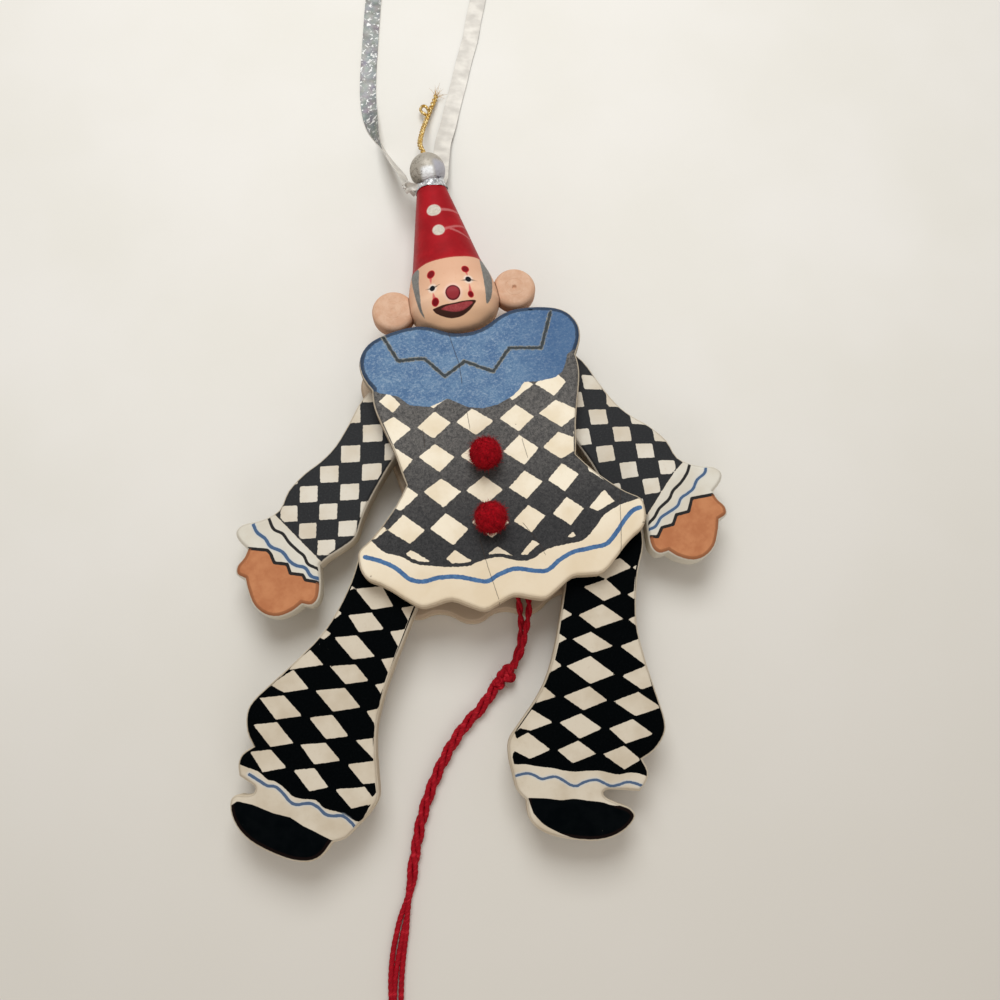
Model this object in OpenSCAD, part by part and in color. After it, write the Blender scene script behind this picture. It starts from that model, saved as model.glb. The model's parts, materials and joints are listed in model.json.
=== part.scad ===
// Wooden clown jumping jack, lying on its back as a pull-string toy.
// Millimetres. X to the viewer's right, Y towards the head, Z out of the chest.
// The origin lies on the back of the back plate, on the middle line of the body.

/* [Layers] */
// Thickness of the front and back plates
plate_t = 5.0; // [3.5:0.1:6]
// Thickness of the arms and legs
limb_t = 6.6; // [5:0.1:8]
// Free space above and below a limb, between the plates
side_play = 0.3; // [0.15:0.05:0.6]
// Width of the sanded bevel along the edges of plates and limbs
edge_bevel = 0.7; // [0.3:0.1:1]

/* [Body outline] */
// Widest part of the collar
collar_w = 54.2; // [50:0.2:60]
// Width where the body meets the collar
shoulder_w = 50.0; // [46:0.2:52]
// Width at the waist
waist_w = 40.8; // [38:0.2:46]
// Width over the end lobes of the hem
hem_w = 68.0; // [62:0.5:78]
// Height of the collar's crest above the hips' base line
collar_top_y = 59.6; // [59.2:0.1:61]
// Height of the dip in the collar, under the chin
collar_dip_y = 55.8; // [54:0.1:56]
// Height of the notch where collar and body meet
shoulder_y = 45.3; // [43:0.1:47]
// Height of the waist
waist_y = 20.7; // [18:0.1:23]
// Depth of the hem below the base line, at its middle
hem_drop = 10.8; // [9:0.1:12]
// Radius of the curve that the hem's scallops follow
hem_radius = 59; // [50:1:80]
// Length of one scallop of the hem
scallop_pitch = 14.2; // [13:0.1:15]
// Half the height of a scallop
scallop_rise = 1.25; // [0.5:0.05:1.8]
// How far the hand-sawn collar sits to the right of the hem
body_lean = 1.6; // [0:0.1:2]
// How far the back plate sits to the left of the front one
back_shift_x = 1.2; // [0:0.1:1.6]
// How far the back plate sits below the front one
back_shift_y = 1.4; // [0:0.1:2]
// How far the back plate's own scallops sit further to the left
back_scallop_shift = 1.8; // [0:0.1:3]

/* [Head and hat] */
// Largest radius of the turned head
head_r = 11.3; // [10.5:0.1:12]
// Radius of the hat at its painted brim
brim_r = 8.8; // [8:0.1:9.5]
// Height of the brim
brim_y = 75.8; // [75:0.1:78]
// Radius of the hat's flat tip
hat_tip_r = 3.9; // [3.2:0.1:4.5]
// Height of the hat's flat tip
hat_tip_y = 98.2; // [95:0.1:108]
// Gap left under the head when the toy lies on its back
head_lift = 0.05; // [0.05:0.05:0.5]
// Clearance between the chin and the dip of the collar
chin_gap = 1.2; // [1.1:0.05:1.8]
// Width of the flat neck tongue between the plates
tongue_w = 12; // [8:0.5:14]
// Length of the neck tongue below the chin
tongue_len = 13; // [8:0.5:14]

/* [Ears] */
// Radius of an ear disc
ear_r = 5.3; // [4:0.1:6]
// Thickness of an ear disc
ear_t = 5.0; // [3.5:0.1:6]
// Height of the ear centres
ear_y = 66.0; // [65:0.1:69]
// How far each ear disc is hollowed out to sit over the head's side
ear_cope = 1.3; // [0.8:0.1:1.6]
// Radius of the dowel that holds an ear
ear_peg_r = 1.2; // [0.8:0.1:1.5]
// Depth of the dowel in the head and in the ear
ear_peg_seat = 3.4; // [2:0.1:4.4]

/* [Bead and ribbon] */
// Height of the ribbon's turn between the hat and the bead
tie_rise = 0.8; // [0.5:0.1:1.4]
// Radius of the mirror bead
bead_r = 4.6; // [4:0.1:5.2]
// Radius of the bore through the bead
bead_bore_r = 0.8; // [0.7:0.05:1.2]
// Radius of the gold cord
gold_r = 0.55; // [0.4:0.05:0.6]
// Depth of the gold cord in the hat
gold_seat = 7; // [4:0.5:12]
// Width of the gift ribbon
ribbon_w = 4.4; // [3.6:0.1:5]
// Thickness of the gift ribbon
ribbon_t = 0.3; // [0.2:0.05:0.5]

/* [Pompoms] */
// Radius of a pompom
pompom_r = 3.8; // [3:0.1:4.5]
// Depth of the flat that each pompom is glued on by
pompom_flat = 0.5; // [0.3:0.1:1]

/* [Pins] */
// Radius of the pivot dowels
pin_r = 1.5; // [1.2:0.05:2]
// Running clearance between a limb and its dowel, on the radius
pin_play = 0.05; // [0.03:0.01:0.1]
// Depth of a dowel in the front plate
pin_seat = 3; // [2:0.1:3.2]
// Distance of a hip dowel from the middle line
hip_x = 22.5; // [20:0.1:24]
// Height of the hip dowels
hip_y = 2.8; // [1:0.1:5]
// Distance of the left shoulder dowel from the middle line
left_shoulder_x = 20.8; // [19:0.1:22]
// Distance of the right shoulder dowel from the middle line
right_shoulder_x = 21.7; // [20:0.1:22]
// Height of the left shoulder dowel
left_shoulder_y = 40.6; // [39:0.1:42]
// Height of the right shoulder dowel
right_shoulder_y = 42.0; // [40:0.1:43]

/* [Arms] */
// Reach of an arm from its dowel to the fingertips
arm_len = 56.5; // [52:0.5:62]
// Width of an arm over cuff and little finger
arm_w = 25.4; // [24:0.2:27]
// Outward swing of the left arm as it lies
left_arm_swing = 40; // [36:1:46]
// Outward swing of the right arm as it lies
right_arm_swing = 26; // [24:1:32]
// Distance of the string hole from the shoulder dowel
arm_lever = 9.2; // [8.8:0.1:10]
// Angle of the arm lever above the inward level, on a hanging arm
arm_lever_angle = 80; // [76:1:86]

/* [Legs] */
// Reach of a leg from its dowel to the sole
leg_len = 70.4; // [66:0.5:76]
// Width of a leg over knee bulge and ankle
leg_w = 34.8; // [33:0.2:36.4]
// Outward swing of the left leg as it lies
left_leg_swing = 30; // [26:1:34]
// Outward swing of the right leg as it lies, negative when it leans inward
right_leg_swing = -21.7; // [-24:0.1:-16]
// Distance of the string hole from the hip dowel
leg_lever = 8.6; // [8:0.1:9.5]
// Angle of the leg lever above the inward level, on a hanging leg
leg_lever_angle = 45; // [40:1:50]
// Depth of the saw slit above the left shoe
left_slit = 4.5; // [2:0.5:9]
// Depth of the saw slit above the right shoe
right_slit = 8; // [2:0.5:9]

/* [Strings] */
// Half the width of a lever, round its string hole
lever_half = 2.8; // [2.4:0.1:3]
// Radius of the hole drilled edge to edge through a lever
string_hole_r = 1.0; // [0.9:0.05:1.2]
// Radius of one red strand
strand_r = 0.6; // [0.4:0.05:0.7]
// Radius of the bundle of strands below the knot
bundle_r = 1.5; // [1.2:0.05:1.6]
// Radius of the knot where the strands meet
knot_r = 2.0; // [1.6:0.05:2.1]

/* [Hidden] */

// Colours of the painted wood, cords and bead
cream = [0.90, 0.86, 0.77];
skin = [0.91, 0.75, 0.62];
hat_red = [0.66, 0.13, 0.15];
cord_red = [0.72, 0.06, 0.12];
raw_wood = [0.80, 0.66, 0.48];
silver = [0.80, 0.80, 0.82];
gold = [0.80, 0.62, 0.22];

// Heights of the layers
gap_t = limb_t + 2 * side_play;
front_z = plate_t + gap_t;
face_z = front_z + plate_t;
limb_z = plate_t + side_play;
mid_z = plate_t + gap_t / 2;
head_z = head_r + head_lift;

// Small working clearances
glue = 0.02;
seat_gap = 0.05;
string_gap = 0.35;
// How far the sander's wedge runs past the edge that it cuts
cut_over = 0.3;
// How much a lever is thinned on each side, so that it clears the plates
lever_trim = 0.3;

// Places worked out from the sizes above
chin_y = collar_dip_y + chin_gap;
tongue_low = chin_y - tongue_len;
bead_seat_y = hat_tip_y + tie_rise;
bead_y = bead_seat_y + seat_gap + bead_r;
ear_x = head_r + ear_r - ear_cope;
left_shoulder = [-left_shoulder_x, left_shoulder_y];
right_shoulder = [right_shoulder_x, right_shoulder_y];
left_hip = [-hip_x, hip_y];
right_hip = [hip_x, hip_y];
pins = [left_shoulder, right_shoulder, left_hip, right_hip];

// Points between two neighbours of a smooth curve, by the Catmull-Rom rule
function blend(a, b, c, d, t) =
    0.5 * (2 * b + (c - a) * t + (2 * a - 5 * b + 4 * c - d) * t * t + (3 * b - a - 3 * c + d) * t * t * t);

// A smooth run through the points p, with n steps to a span; its last point is left to the next run
function run(p, n = 3) = [for (i = [0 : len(p) - 2], k = [0 : n - 1])
    blend(p[max(i - 1, 0)], p[i], p[i + 1], p[min(i + 2, len(p) - 1)], k / n)];

// Runs joined end to end, each meeting the next at a corner
function outline(runs) = [for (r = runs) each run(r)];

// The same points on the other side of the middle line, in reverse order
function flip(p) = [for (i = [len(p) - 1 : -1 : 0]) [-p[i][0], p[i][1]]];

// Points resized across and along
function resize_points(p, k) = [for (q = p) [q[0] * k[0], q[1] * k[1]]];

function unit(v) = v / norm(v);
// The area inside a closed outline, positive when it runs anticlockwise
function area(p) = [for (i = [0 : len(p) - 1]) cross(p[i], p[(i + 1) % len(p)])] * [for (q = p) 0.5];
// A closed outline moved inwards by d, each point along the bisector of its two edges
function edge_normal(a, b) = let (e = unit(b - a)) [-e[1], e[0]];
function inset(p, d) = let (n = len(p), s = sign(area(p))) [for (i = [0 : n - 1])
    let (u = edge_normal(p[(i + n - 1) % n], p[i]), v = edge_normal(p[i], p[(i + 1) % n]))
    p[i] + s * d * (u + v) / (1 + u * v)];

// The wedge that a sander takes off the upper edge of a board, h above its middle
module edge_waste(p, h) {
    n = len(p);
    rings = [[inset(p, edge_bevel + cut_over), h + cut_over],
        [inset(p, -cut_over), h - edge_bevel - cut_over],
        [inset(p, -cut_over), h + cut_over]];
    polyhedron([for (r = rings, q = r[0]) [q[0], q[1], r[1]]],
        [for (k = [0 : 2], i = [0 : n - 1]) let (m = (k + 1) % 3, j = (i + 1) % n)
            [m * n + i, m * n + j, k * n + j, k * n + i]]);
}

// A sawn board of thickness t: the outline with a bevel along both its edges
module board(shape, t) {
    n = len(shape);
    p = area(shape) > 0 ? shape : [for (i = [n - 1 : -1 : 0]) shape[i]];
    difference() {
        linear_extrude(t) polygon(p);
        for (s = [0, 1]) translate([0, 0, t / 2]) mirror([0, 0, s]) edge_waste(p, t / 2);
    }
}

/* Body plates: half outlines from the middle of the collar down to the hem */
collar_half = [[0, collar_dip_y], [3.0, collar_dip_y + 0.3], [5.4, collar_dip_y + 1.2],
    [7.6, collar_dip_y + 2.4], [9.8, collar_top_y - 0.5], [12.2, collar_top_y], [15.8, collar_top_y - 0.1],
    [collar_w / 2 - 7.5, collar_top_y - 0.7], [collar_w / 2 - 3.8, collar_top_y - 1.9],
    [collar_w / 2 - 1.4, collar_top_y - 3.9], [collar_w / 2 - 0.1, collar_top_y - 6.6],
    [collar_w / 2, collar_top_y - 9.2], [collar_w / 2 - 0.7, shoulder_y + 2.6], [shoulder_w / 2, shoulder_y]];
side_half = [[shoulder_w / 2, shoulder_y], [shoulder_w / 2 + 0.2, shoulder_y - 2.2],
    [shoulder_w / 2, shoulder_y - 5.0], [shoulder_w / 2 - 1.0, shoulder_y - 9.2],
    [(shoulder_w + waist_w) / 4 + 0.1, waist_y + 11.3], [waist_w / 2 + 1.4, waist_y + 7.3],
    [waist_w / 2 + 0.7, waist_y + 3.3], [waist_w / 2, waist_y]];
lobe_half = [[waist_w / 2, waist_y], [waist_w / 2 + 3.0, waist_y - 4.1], [hem_w / 2 - 6.8, waist_y - 8.2],
    [hem_w / 2 - 3.6, waist_y - 11.1], [hem_w / 2 - 0.5, waist_y - 13.3], [hem_w / 2, 4.8],
    [hem_w / 2 - 0.4, 2.2], [hem_w / 2 - 1.7, 0.2], [hem_w / 2 - 4.0, -1.2], [hem_w / 2 - 6.6, -3.2]];
// Height of the hem's scalloped edge at x: a shallow bowl with a wave along it
function hem_y(x, shift) =
    x * x / (2 * hem_radius) - hem_drop + scallop_rise * cos(360 * (x + shift) / scallop_pitch);
function hem_all(shift) = concat(lobe_half,
    [for (k = [7 : -1 : -7]) [k * scallop_pitch / 4, hem_y(k * scallop_pitch / 4, shift)]], flip(lobe_half));
collar_all = concat(flip(collar_half), [for (i = [1 : len(collar_half) - 1]) collar_half[i]]);
function leaning(p) = [for (q = p) [q[0] + body_lean * (q[1] + hem_drop) / (collar_top_y + hem_drop), q[1]]];

module plate(scallop_shift) {
    board(leaning(outline([collar_all, side_half, hem_all(scallop_shift), flip(side_half)])), plate_t);
}

module front_plate() {
    color(cream) difference() {
        translate([0, 0, front_z]) plate(0);
        for (p = pins) translate([p[0], p[1], front_z - 1])
            cylinder(r = pin_r + glue, h = pin_seat + 1, $fn = 32);
    }
}

module back_plate() {
    color(cream) difference() {
        translate([-back_shift_x, -back_shift_y, 0]) plate(back_scallop_shift);
        for (p = pins) translate([p[0], p[1], -1]) cylinder(r = pin_r + glue, h = plate_t + 2, $fn = 32);
    }
}

// A pivot dowel: just below flush at the back, blind in the front plate
module pivot_pin(p) {
    color(raw_wood) translate([p[0], p[1], seat_gap])
        cylinder(r = pin_r, h = front_z + pin_seat - 2 * seat_gap, $fn = 32);
}

/* Head: a turned profile of radius against height, from the chin to the hat's tip */
head_profile = concat(
    [[0, chin_y]],
    run([[2.6, chin_y + 0.1], [5.5, chin_y + 0.8], [7.7, chin_y + 2.2], [head_r - 1.6, chin_y + 4.0],
        [head_r - 0.1, chin_y + 6.8], [head_r, ear_y - 0.5], [head_r - 0.15, ear_y + 2.0],
        [head_r - 0.9, ear_y + 5.3], [brim_r, brim_y]]),
    [[brim_r, brim_y], [hat_tip_r, hat_tip_y - 0.5], [hat_tip_r - 0.5, hat_tip_y], [0, hat_tip_y]]);

module along_y() {
    translate([0, 0, head_z]) rotate([-90, 0, 0]) children();
}

module ear_bore(side, r, from_x, to_x) {
    translate([side * from_x, ear_y, head_z]) rotate([0, side * 90, 0])
        cylinder(r = r, h = to_x - from_x, $fn = 24);
}

module head() {
    color(hat_red) difference() {
        union() {
            along_y() rotate_extrude($fn = 72) polygon(head_profile);
            translate([-tongue_w / 2, tongue_low, plate_t]) cube([tongue_w, tongue_len + 3, gap_t]);
        }
        along_y() translate([0, 0, hat_tip_y - gold_seat])
            cylinder(r = gold_r + 0.1, h = gold_seat + 1, $fn = 24);
        for (s = [-1, 1]) ear_bore(s, ear_peg_r + glue, head_r - ear_peg_seat, head_r + 1);
    }
}

/* Ears: turned discs with a rounded rim, a fine ring and a centre dimple, hollowed to fit the head's side */
ear_rim = 0.8;
ear_profile = concat(
    [[0, -ear_t / 2], [ear_r - ear_rim, -ear_t / 2]],
    [for (a = [-75 : 15 : 75])
        [ear_r - ear_rim + ear_rim * cos(a), (ear_t / 2 - ear_rim) * sign(a) + ear_rim * sin(a)]],
    [[ear_r - ear_rim, ear_t / 2], [ear_r * 0.5, ear_t / 2], [ear_r * 0.46, ear_t / 2 - 0.15],
        [ear_r * 0.42, ear_t / 2], [ear_r * 0.16, ear_t / 2], [0, ear_t / 2 - 0.5]]);

module ear(side) {
    color(skin) difference() {
        translate([side * ear_x, ear_y, head_z]) rotate_extrude($fn = 48) polygon(ear_profile);
        along_y() rotate_extrude($fn = 72)
            polygon([for (q = head_profile) [q[0] + sign(q[0]) * seat_gap, q[1]]]);
        ear_bore(side, ear_peg_r + glue, head_r - 1, head_r + ear_peg_seat);
    }
}

module ear_left() { ear(-1); }
module ear_right() { ear(1); }

module ear_pegs() {
    color(raw_wood) for (s = [-1, 1])
        ear_bore(s, ear_peg_r, head_r - ear_peg_seat + seat_gap, head_r + ear_peg_seat - seat_gap);
}

module silver_bead() {
    color(silver) difference() {
        translate([0, bead_y, head_z]) sphere(r = bead_r, $fn = 64);
        along_y() translate([0, 0, hat_tip_y - 1]) cylinder(r = bead_bore_r, h = 2 * bead_r + 3, $fn = 24);
    }
}

/* Cords: a closed tube swept along a route, with one ring of sides at each point */
function heading(p, i) = unit(p[min(i + 1, len(p) - 1)] - p[max(i - 1, 0)]);
function ring(c, t, r, sides) = let (s = unit(cross(t, [0, 0, 1])), u = cross(s, t))
    [for (k = [0 : sides - 1]) c + r * (cos(360 * k / sides) * s + sin(360 * k / sides) * u)];

// Triangles of a swept tube of m rings with n points each, closed by a fan at each end
function tube_faces(m, n) = concat(
    [for (i = [0 : m - 2], k = [0 : n - 1]) let (a = i * n + k, b = i * n + (k + 1) % n) [a, b, a + n]],
    [for (i = [0 : m - 2], k = [0 : n - 1]) let (a = i * n + k, b = i * n + (k + 1) % n) [b, b + n, a + n]],
    [for (k = [1 : n - 2]) [0, k + 1, k]],
    [for (k = [1 : n - 2]) let (e = (m - 1) * n) [e, e + k, e + k + 1]]);

// A round cord; radii gives one radius to each point of the route
module cord(route, radii, sides = 8) {
    polyhedron([for (i = [0 : len(route) - 1]) each ring(route[i], heading(route, i), radii[i], sides)],
        tube_faces(len(route), sides));
}

// A flat ribbon; twist turns its width about the route, from level
function band_ring(c, t, twist) = let (s = unit(cross(t, [0, 0, 1])), u = cross(s, t),
        across = cos(twist) * s + sin(twist) * u, up = cos(twist) * u - sin(twist) * s)
    [for (q = [[1, 1], [-1, 1], [-1, -1], [1, -1]])
        c + q[0] * across * ribbon_w / 2 + q[1] * up * ribbon_t / 2];
module band(route, twist) {
    polyhedron([for (i = [0 : len(route) - 1]) each band_ring(route[i], heading(route, i), twist[i])],
        tube_faces(len(route), 4));
}

/* Gold cord: glued in the hat, through the bead, then a short cut stub with a knot near its frayed end */
// Points of a route above the bead's seat, given as x, height over the seat, and z
function above_seat(p) = [for (q = p) [q[0], bead_seat_y + q[1], q[2]]];
gold_route = concat([[0, hat_tip_y - gold_seat + seat_gap, head_z], [0, bead_y + bead_r, head_z]],
    above_seat([[-0.4, 11.4, 10.9], [-0.5, 13.6, 9.8], [0.2, 17.2, 7.0], [1.2, 20.6, 5.0], [2.2, 23.4, 3.4],
        [3.2, 25.8, 2.4], [4.2, 27.8, 2.0], [5.2, 29.6, 1.8], [6.2, 31.4, 1.4], [6.9, 32.8, 1.2]]));
gold_knot = 7;
gold_radii = [for (i = [0 : len(gold_route) - 1]) gold_r * (i == gold_knot ? 1.6 : 1)];

module gold_cord() { color(gold) cord(gold_route, gold_radii, 8); }

/* Ribbon: one turn in the groove between hat and bead, a knot at its left, and the loop */
groove_in = 2.3;
tie_out = 4.2;
tie_knot = [-5.5, 1.5];
function bead_edge(r) = bead_y - sqrt(bead_r * bead_r - r * r) - 0.15;
groove_mid = (groove_in + tie_out) / 2;
tie_profile = [[groove_in, hat_tip_y + 0.1], [tie_out - 0.3, hat_tip_y + 0.1],
    [tie_out, bead_seat_y + 0.5],
    [tie_out - 0.2, bead_edge(tie_out - 0.2)], [groove_mid, bead_edge(groove_mid)],
    [groove_in, bead_edge(groove_in)]];
// The knot's lump, as distance along it and radius
tie_lump = [[-1.7, 0.7], [-0.9, 1.45], [0.1, 1.7], [1.0, 1.35], [1.7, 0.6]];

module ribbon_tie() {
    color(silver) union() {
        along_y() rotate_extrude($fn = 72) polygon(tie_profile);
        translate([tie_knot[0], bead_seat_y + tie_knot[1], head_z])
            cord([for (q = tie_lump) q[0] * [0.3, 0.2, 1]], [for (q = tie_lump) q[1]], 8);
    }
}

// The loop's left strand turns over once on its way up to the knot
ribbon_route = above_seat([[-6.1, 2.3, 10.3], [-6.5, 6.0, 8.8], [-7.3, 8.8, 7.4], [-8.0, 11.4, 6.0],
    [-8.7, 14.0, 4.6], [-9.5, 17.0, 3.4], [-10.3, 20.2, 2.4], [-11.1, 23.8, 1.5], [-11.7, 27.6, 0.9],
    [-11.8, 31.4, 0.5], [-11.4, 36.8, 0.4], [-10.2, 43.6, 0.4], [-8.5, 51.2, 0.4], [-6.4, 60.4, 0.4],
    [-4.8, 67.0, 0.4], [-2.6, 74.0, 0.4], [0.6, 81.0, 0.4], [5.4, 87.4, 0.4], [11.4, 91.4, 0.4],
    [18.2, 91.8, 0.4], [24.0, 88.2, 0.4], [27.0, 82.2, 0.4], [27.6, 75.4, 0.4], [26.4, 68.4, 0.4],
    [24.2, 61.8, 0.4], [21.8, 55.6, 0.4], [19.6, 49.4, 0.4], [16.8, 43.2, 0.4], [13.8, 36.0, 0.4],
    [11.1, 29.8, 0.4], [8.6, 23.6, 0.8], [6.7, 18.4, 1.4], [5.3, 13.4, 2.2], [4.4, 8.8, 3.2],
    [4.2, 5.2, 4.6], [3.4, 2.0, 6.9]]);
ribbon_twist = [for (i = [0 : len(ribbon_route) - 1]) max(0, 160 - 20 * i)];

module ribbon() { color(silver) band(ribbon_route, ribbon_twist); }

/* Pompoms: felted balls on a small glued flat */
module pompom(x, y) {
    color(cord_red) intersection() {
        translate([x, y, face_z + pompom_r - pompom_flat]) sphere(r = pompom_r, $fn = 48);
        translate([x - pompom_r, y - pompom_r, face_z]) cube(2 * pompom_r);
    }
}
module pompom_upper() { pompom(-0.2, waist_y + 3.2); }
module pompom_lower() { pompom(-1.9, waist_y - 12.1); }

/* Limbs: drawn as the left ones, hanging straight down from a dowel at the origin, inward to +x */
drawn_arm = [25.4, 56.5];
arm_runs = [
    [[0, 7.6], [-5.4, 5.4], [-7.6, 0], [-7.3, -7], [-7.3, -13.5], [-8.4, -18.5], [-10.2, -23],
        [-11.3, -28.5], [-10.7, -33.5], [-13, -37.6], [-16.2, -40.6], [-16.8, -42.9], [-15.2, -44.4],
        [-12.3, -45.2]],
    [[-12.3, -45.2], [-12, -47.3], [-12.3, -49.8], [-11.2, -51.6], [-9, -51.6]],
    [[-9, -51.6], [-7, -53.6], [-3.9, -55.9], [-0.4, -56.5], [2.6, -55.4], [4.8, -52.8], [5.9, -50.2]],
    [[5.9, -50.2], [8.0, -49.3], [8.5, -46.9], [6.8, -43.4], [4.6, -40.2]],
    [[4.6, -40.2], [5.5, -37.5], [7.4, -33.8], [8.6, -30.3], [7.6, -25.8], [6.9, -20], [6.7, -12],
        [7.1, -5], [7.6, 0], [5.4, 5.4], [0, 7.6]]];
arm_outline = resize_points(outline(arm_runs), [arm_w / drawn_arm[0], arm_len / drawn_arm[1]]);

drawn_leg = [34.8, 70.4];
slit_mouth = -19.6;
function leg_runs(slit) = [
    [[-3.4, 7.4], [-9.3, 4.9], [-11.8, -1], [-11.6, -8], [-12.3, -15.8], [-13.8, -22], [-17.1, -29.5],
        [-20.6, -36], [-23.0, -41], [-23.2, -44.2], [-21.6, -47.8], [-19.1, -50.3]],
    [[-19.1, -50.3], [-20.8, -52.6], [-20.8, -55], [slit_mouth, -57.3]],
    [[slit_mouth, -57.3], [slit_mouth + slit * 0.6, -57.9], [slit_mouth + slit * 0.9, -58.3],
        [slit_mouth + slit, -59.2], [slit_mouth + slit * 0.9, -60.1], [slit_mouth + slit * 0.55, -60.8],
        [slit_mouth + slit * 0.2, -61.3], [slit_mouth + 0.15, -62.9], [-18.1, -65.7], [-15, -68.3],
        [-10.4, -69.9],
        [-3.2, -70.4], [1.4, -69.5], [4, -67.4], [5.2, -63.9]],
    [[5.2, -63.9], [7.6, -62.2], [9.2, -59.2], [10.8, -55.5], [11.5, -51.8], [10.2, -48.3], [7.8, -43.2],
        [5.7, -37.2], [4.8, -30], [4.7, -22], [5.0, -12], [5.0, -1], [2.5, 4.9], [-3.4, 7.4]]];
function leg_outline(slit) = let (k = [leg_w / drawn_leg[0], leg_len / drawn_leg[1]])
    resize_points(outline(leg_runs(slit / k[0])), k);

// The lever's outline: straight edges where the string hole comes out, and rounded corners beyond it
function lever_outline(lever) = let (c = lever_half / 2, end = lever + lever_half - c, side = lever_half - c)
    concat([[0, -lever_half]], [for (a = [-90 : 30 : 0]) [end + c * cos(a), c * sin(a) - side]],
        [for (a = [0 : 30 : 90]) [end + c * cos(a), c * sin(a) + side]], [[0, lever_half]]);

// A sawn limb with its pivot bore, and a lever with a string hole drilled edge to edge
module limb(shape, lever, angle) {
    difference() {
        union() {
            board(shape, limb_t);
            translate([0, 0, lever_trim]) rotate(angle)
                linear_extrude(limb_t - 2 * lever_trim) polygon(lever_outline(lever));
        }
        translate([0, 0, -1]) cylinder(r = pin_r + pin_play, h = limb_t + 2, $fn = 32);
        rotate(angle) translate([lever, -lever_half - 1, limb_t / 2]) rotate([-90, 0, 0])
            cylinder(r = string_hole_r, h = 2 * lever_half + 2, $fn = 24);
    }
}

module arm() { limb(arm_outline, arm_lever, arm_lever_angle); }
module leg(slit) { limb(leg_outline(slit), leg_lever, leg_lever_angle); }

module hang(p, side, swing) {
    translate([p[0], p[1], limb_z]) rotate([0, 0, side * swing]) mirror([side > 0 ? 1 : 0, 0, 0]) children();
}

module left_arm() { color(cream) hang(left_shoulder, -1, left_arm_swing) arm(); }
module right_arm() { color(cream) hang(right_shoulder, 1, right_arm_swing) arm(); }
module left_leg() { color(cream) hang(left_hip, -1, left_leg_swing) leg(left_slit); }
module right_leg() { color(cream) hang(right_hip, 1, right_leg_swing) leg(right_slit); }

/* Inner strings: from a stop knot behind one lever, through it, to the middle, and back out the same way */
// A point beside a lever hole of the limb at pivot p, d along the pull
function lever_point(p, side, swing, lever, angle, d) =
    let (a = angle - swing, q = [lever * cos(a) + d * sin(a), lever * sin(a) - d * cos(a)])
    [p[0] - side * q[0], p[1] + q[1], mid_z];
// Half of a string, from the stop knot to just past the lever
function string_half(p, side, swing, lever, angle) = let (h = lever_half)
    [for (d = [-h - 2.2, -h - 1.6, -h - 0.6, -h - string_gap, 0, h + 1])
        lever_point(p, side, swing, lever, angle, d)];
string_radii = [0.5, 2.1, 2.1, 1, 1, 1];
function reversed(p) = [for (i = [len(p) - 1 : -1 : 0]) p[i]];

arm_string_mid = [1.0, 34.6, mid_z];
leg_string_mid = [3.4, -2.6, mid_z];
module string(left, mid, right) {
    color(cord_red) cord(concat(left, [mid], reversed(right)),
        strand_r * concat(string_radii, [1], reversed(string_radii)), 8);
}
module arm_string() {
    string(string_half(left_shoulder, -1, left_arm_swing, arm_lever, arm_lever_angle), arm_string_mid,
        string_half(right_shoulder, 1, right_arm_swing, arm_lever, arm_lever_angle));
}
module leg_string() {
    string(string_half(left_hip, -1, left_leg_swing, leg_lever, leg_lever_angle), leg_string_mid,
        string_half(right_hip, 1, right_leg_swing, leg_lever, leg_lever_angle));
}

/* Pull cord: the two strands come out under the hem, meet in a knot and lie on as one bundle */
arm_strand_route = [[1.0, 33.7, mid_z], [1.0, 20, 9.2], [1.1, 7, 10.2], [1.3, -1, 10.4], [1.5, -6, 9.6],
    [1.4, -10.6, 7.6], [1.2, -14.2, 5.4], [0.7, -17.0, 4.0], [-0.1, -19.6, 2.7], [-1.5, -22.2, 1.8],
    [-3.0, -24.6, 1.5]];
leg_strand_route = [[3.5, -3.5, mid_z], [3.8, -7.6, mid_z], [3.7, -11.0, 8.0], [3.0, -13.8, 7.2],
    [2.0, -16.6, 6.0], [1.0, -19.0, 5.0], [0.2, -21.0, 4.1], [-1.2, -23.0, 3.3], [-2.6, -24.8, 2.8]];
knot_from = [-3.0, -24.9, 2.2];
knot_to = [-7.8, -28.4, 2.2];
pull_route = [[-7.8, -28.4, 2.0], [-9.8, -30.5, 1.8], [-12.3, -32.8, 1.6], [-16.2, -35.6, 1.6],
    [-20.2, -39.4, 1.6], [-24.1, -44.2, 1.6], [-27.4, -49.2, 1.6], [-30.0, -54.0, 1.6], [-32.0, -58.8, 1.6],
    [-33.7, -63.6, 1.6], [-35.2, -68.0, 1.6], [-36.8, -72.4, 1.6], [-38.8, -77.6, 1.6], [-40.8, -83.0, 1.6],
    [-42.2, -88.0, 1.6], [-43.2, -93.4, 1.6], [-44.0, -99.6, 1.6], [-44.6, -106.0, 1.8]];
end_from = [-44.6, -106.0, 2.0];
end_to = [-45.2, -111.6, 2.0];

// An overhand knot between two points: a large lump with a smaller one behind it, as shares of r and length
knot_profile = [[0.45, 0], [0.85, 0.09], [1, 0.25], [1, 0.42], [0.8, 0.56], [0.88, 0.7], [0.85, 0.83],
    [0.62, 0.95], [0.5, 1]];
module knot(a, b, r) {
    d = b - a;
    color(cord_red) translate(a) rotate([0, 0, atan2(d[1], d[0])]) rotate([0, 90, 0]) rotate_extrude($fn = 24)
        polygon(concat([[0, 0]], [for (q = knot_profile) [r * q[0], norm(d) * q[1]]], [[0, norm(d)]]));
}

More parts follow.
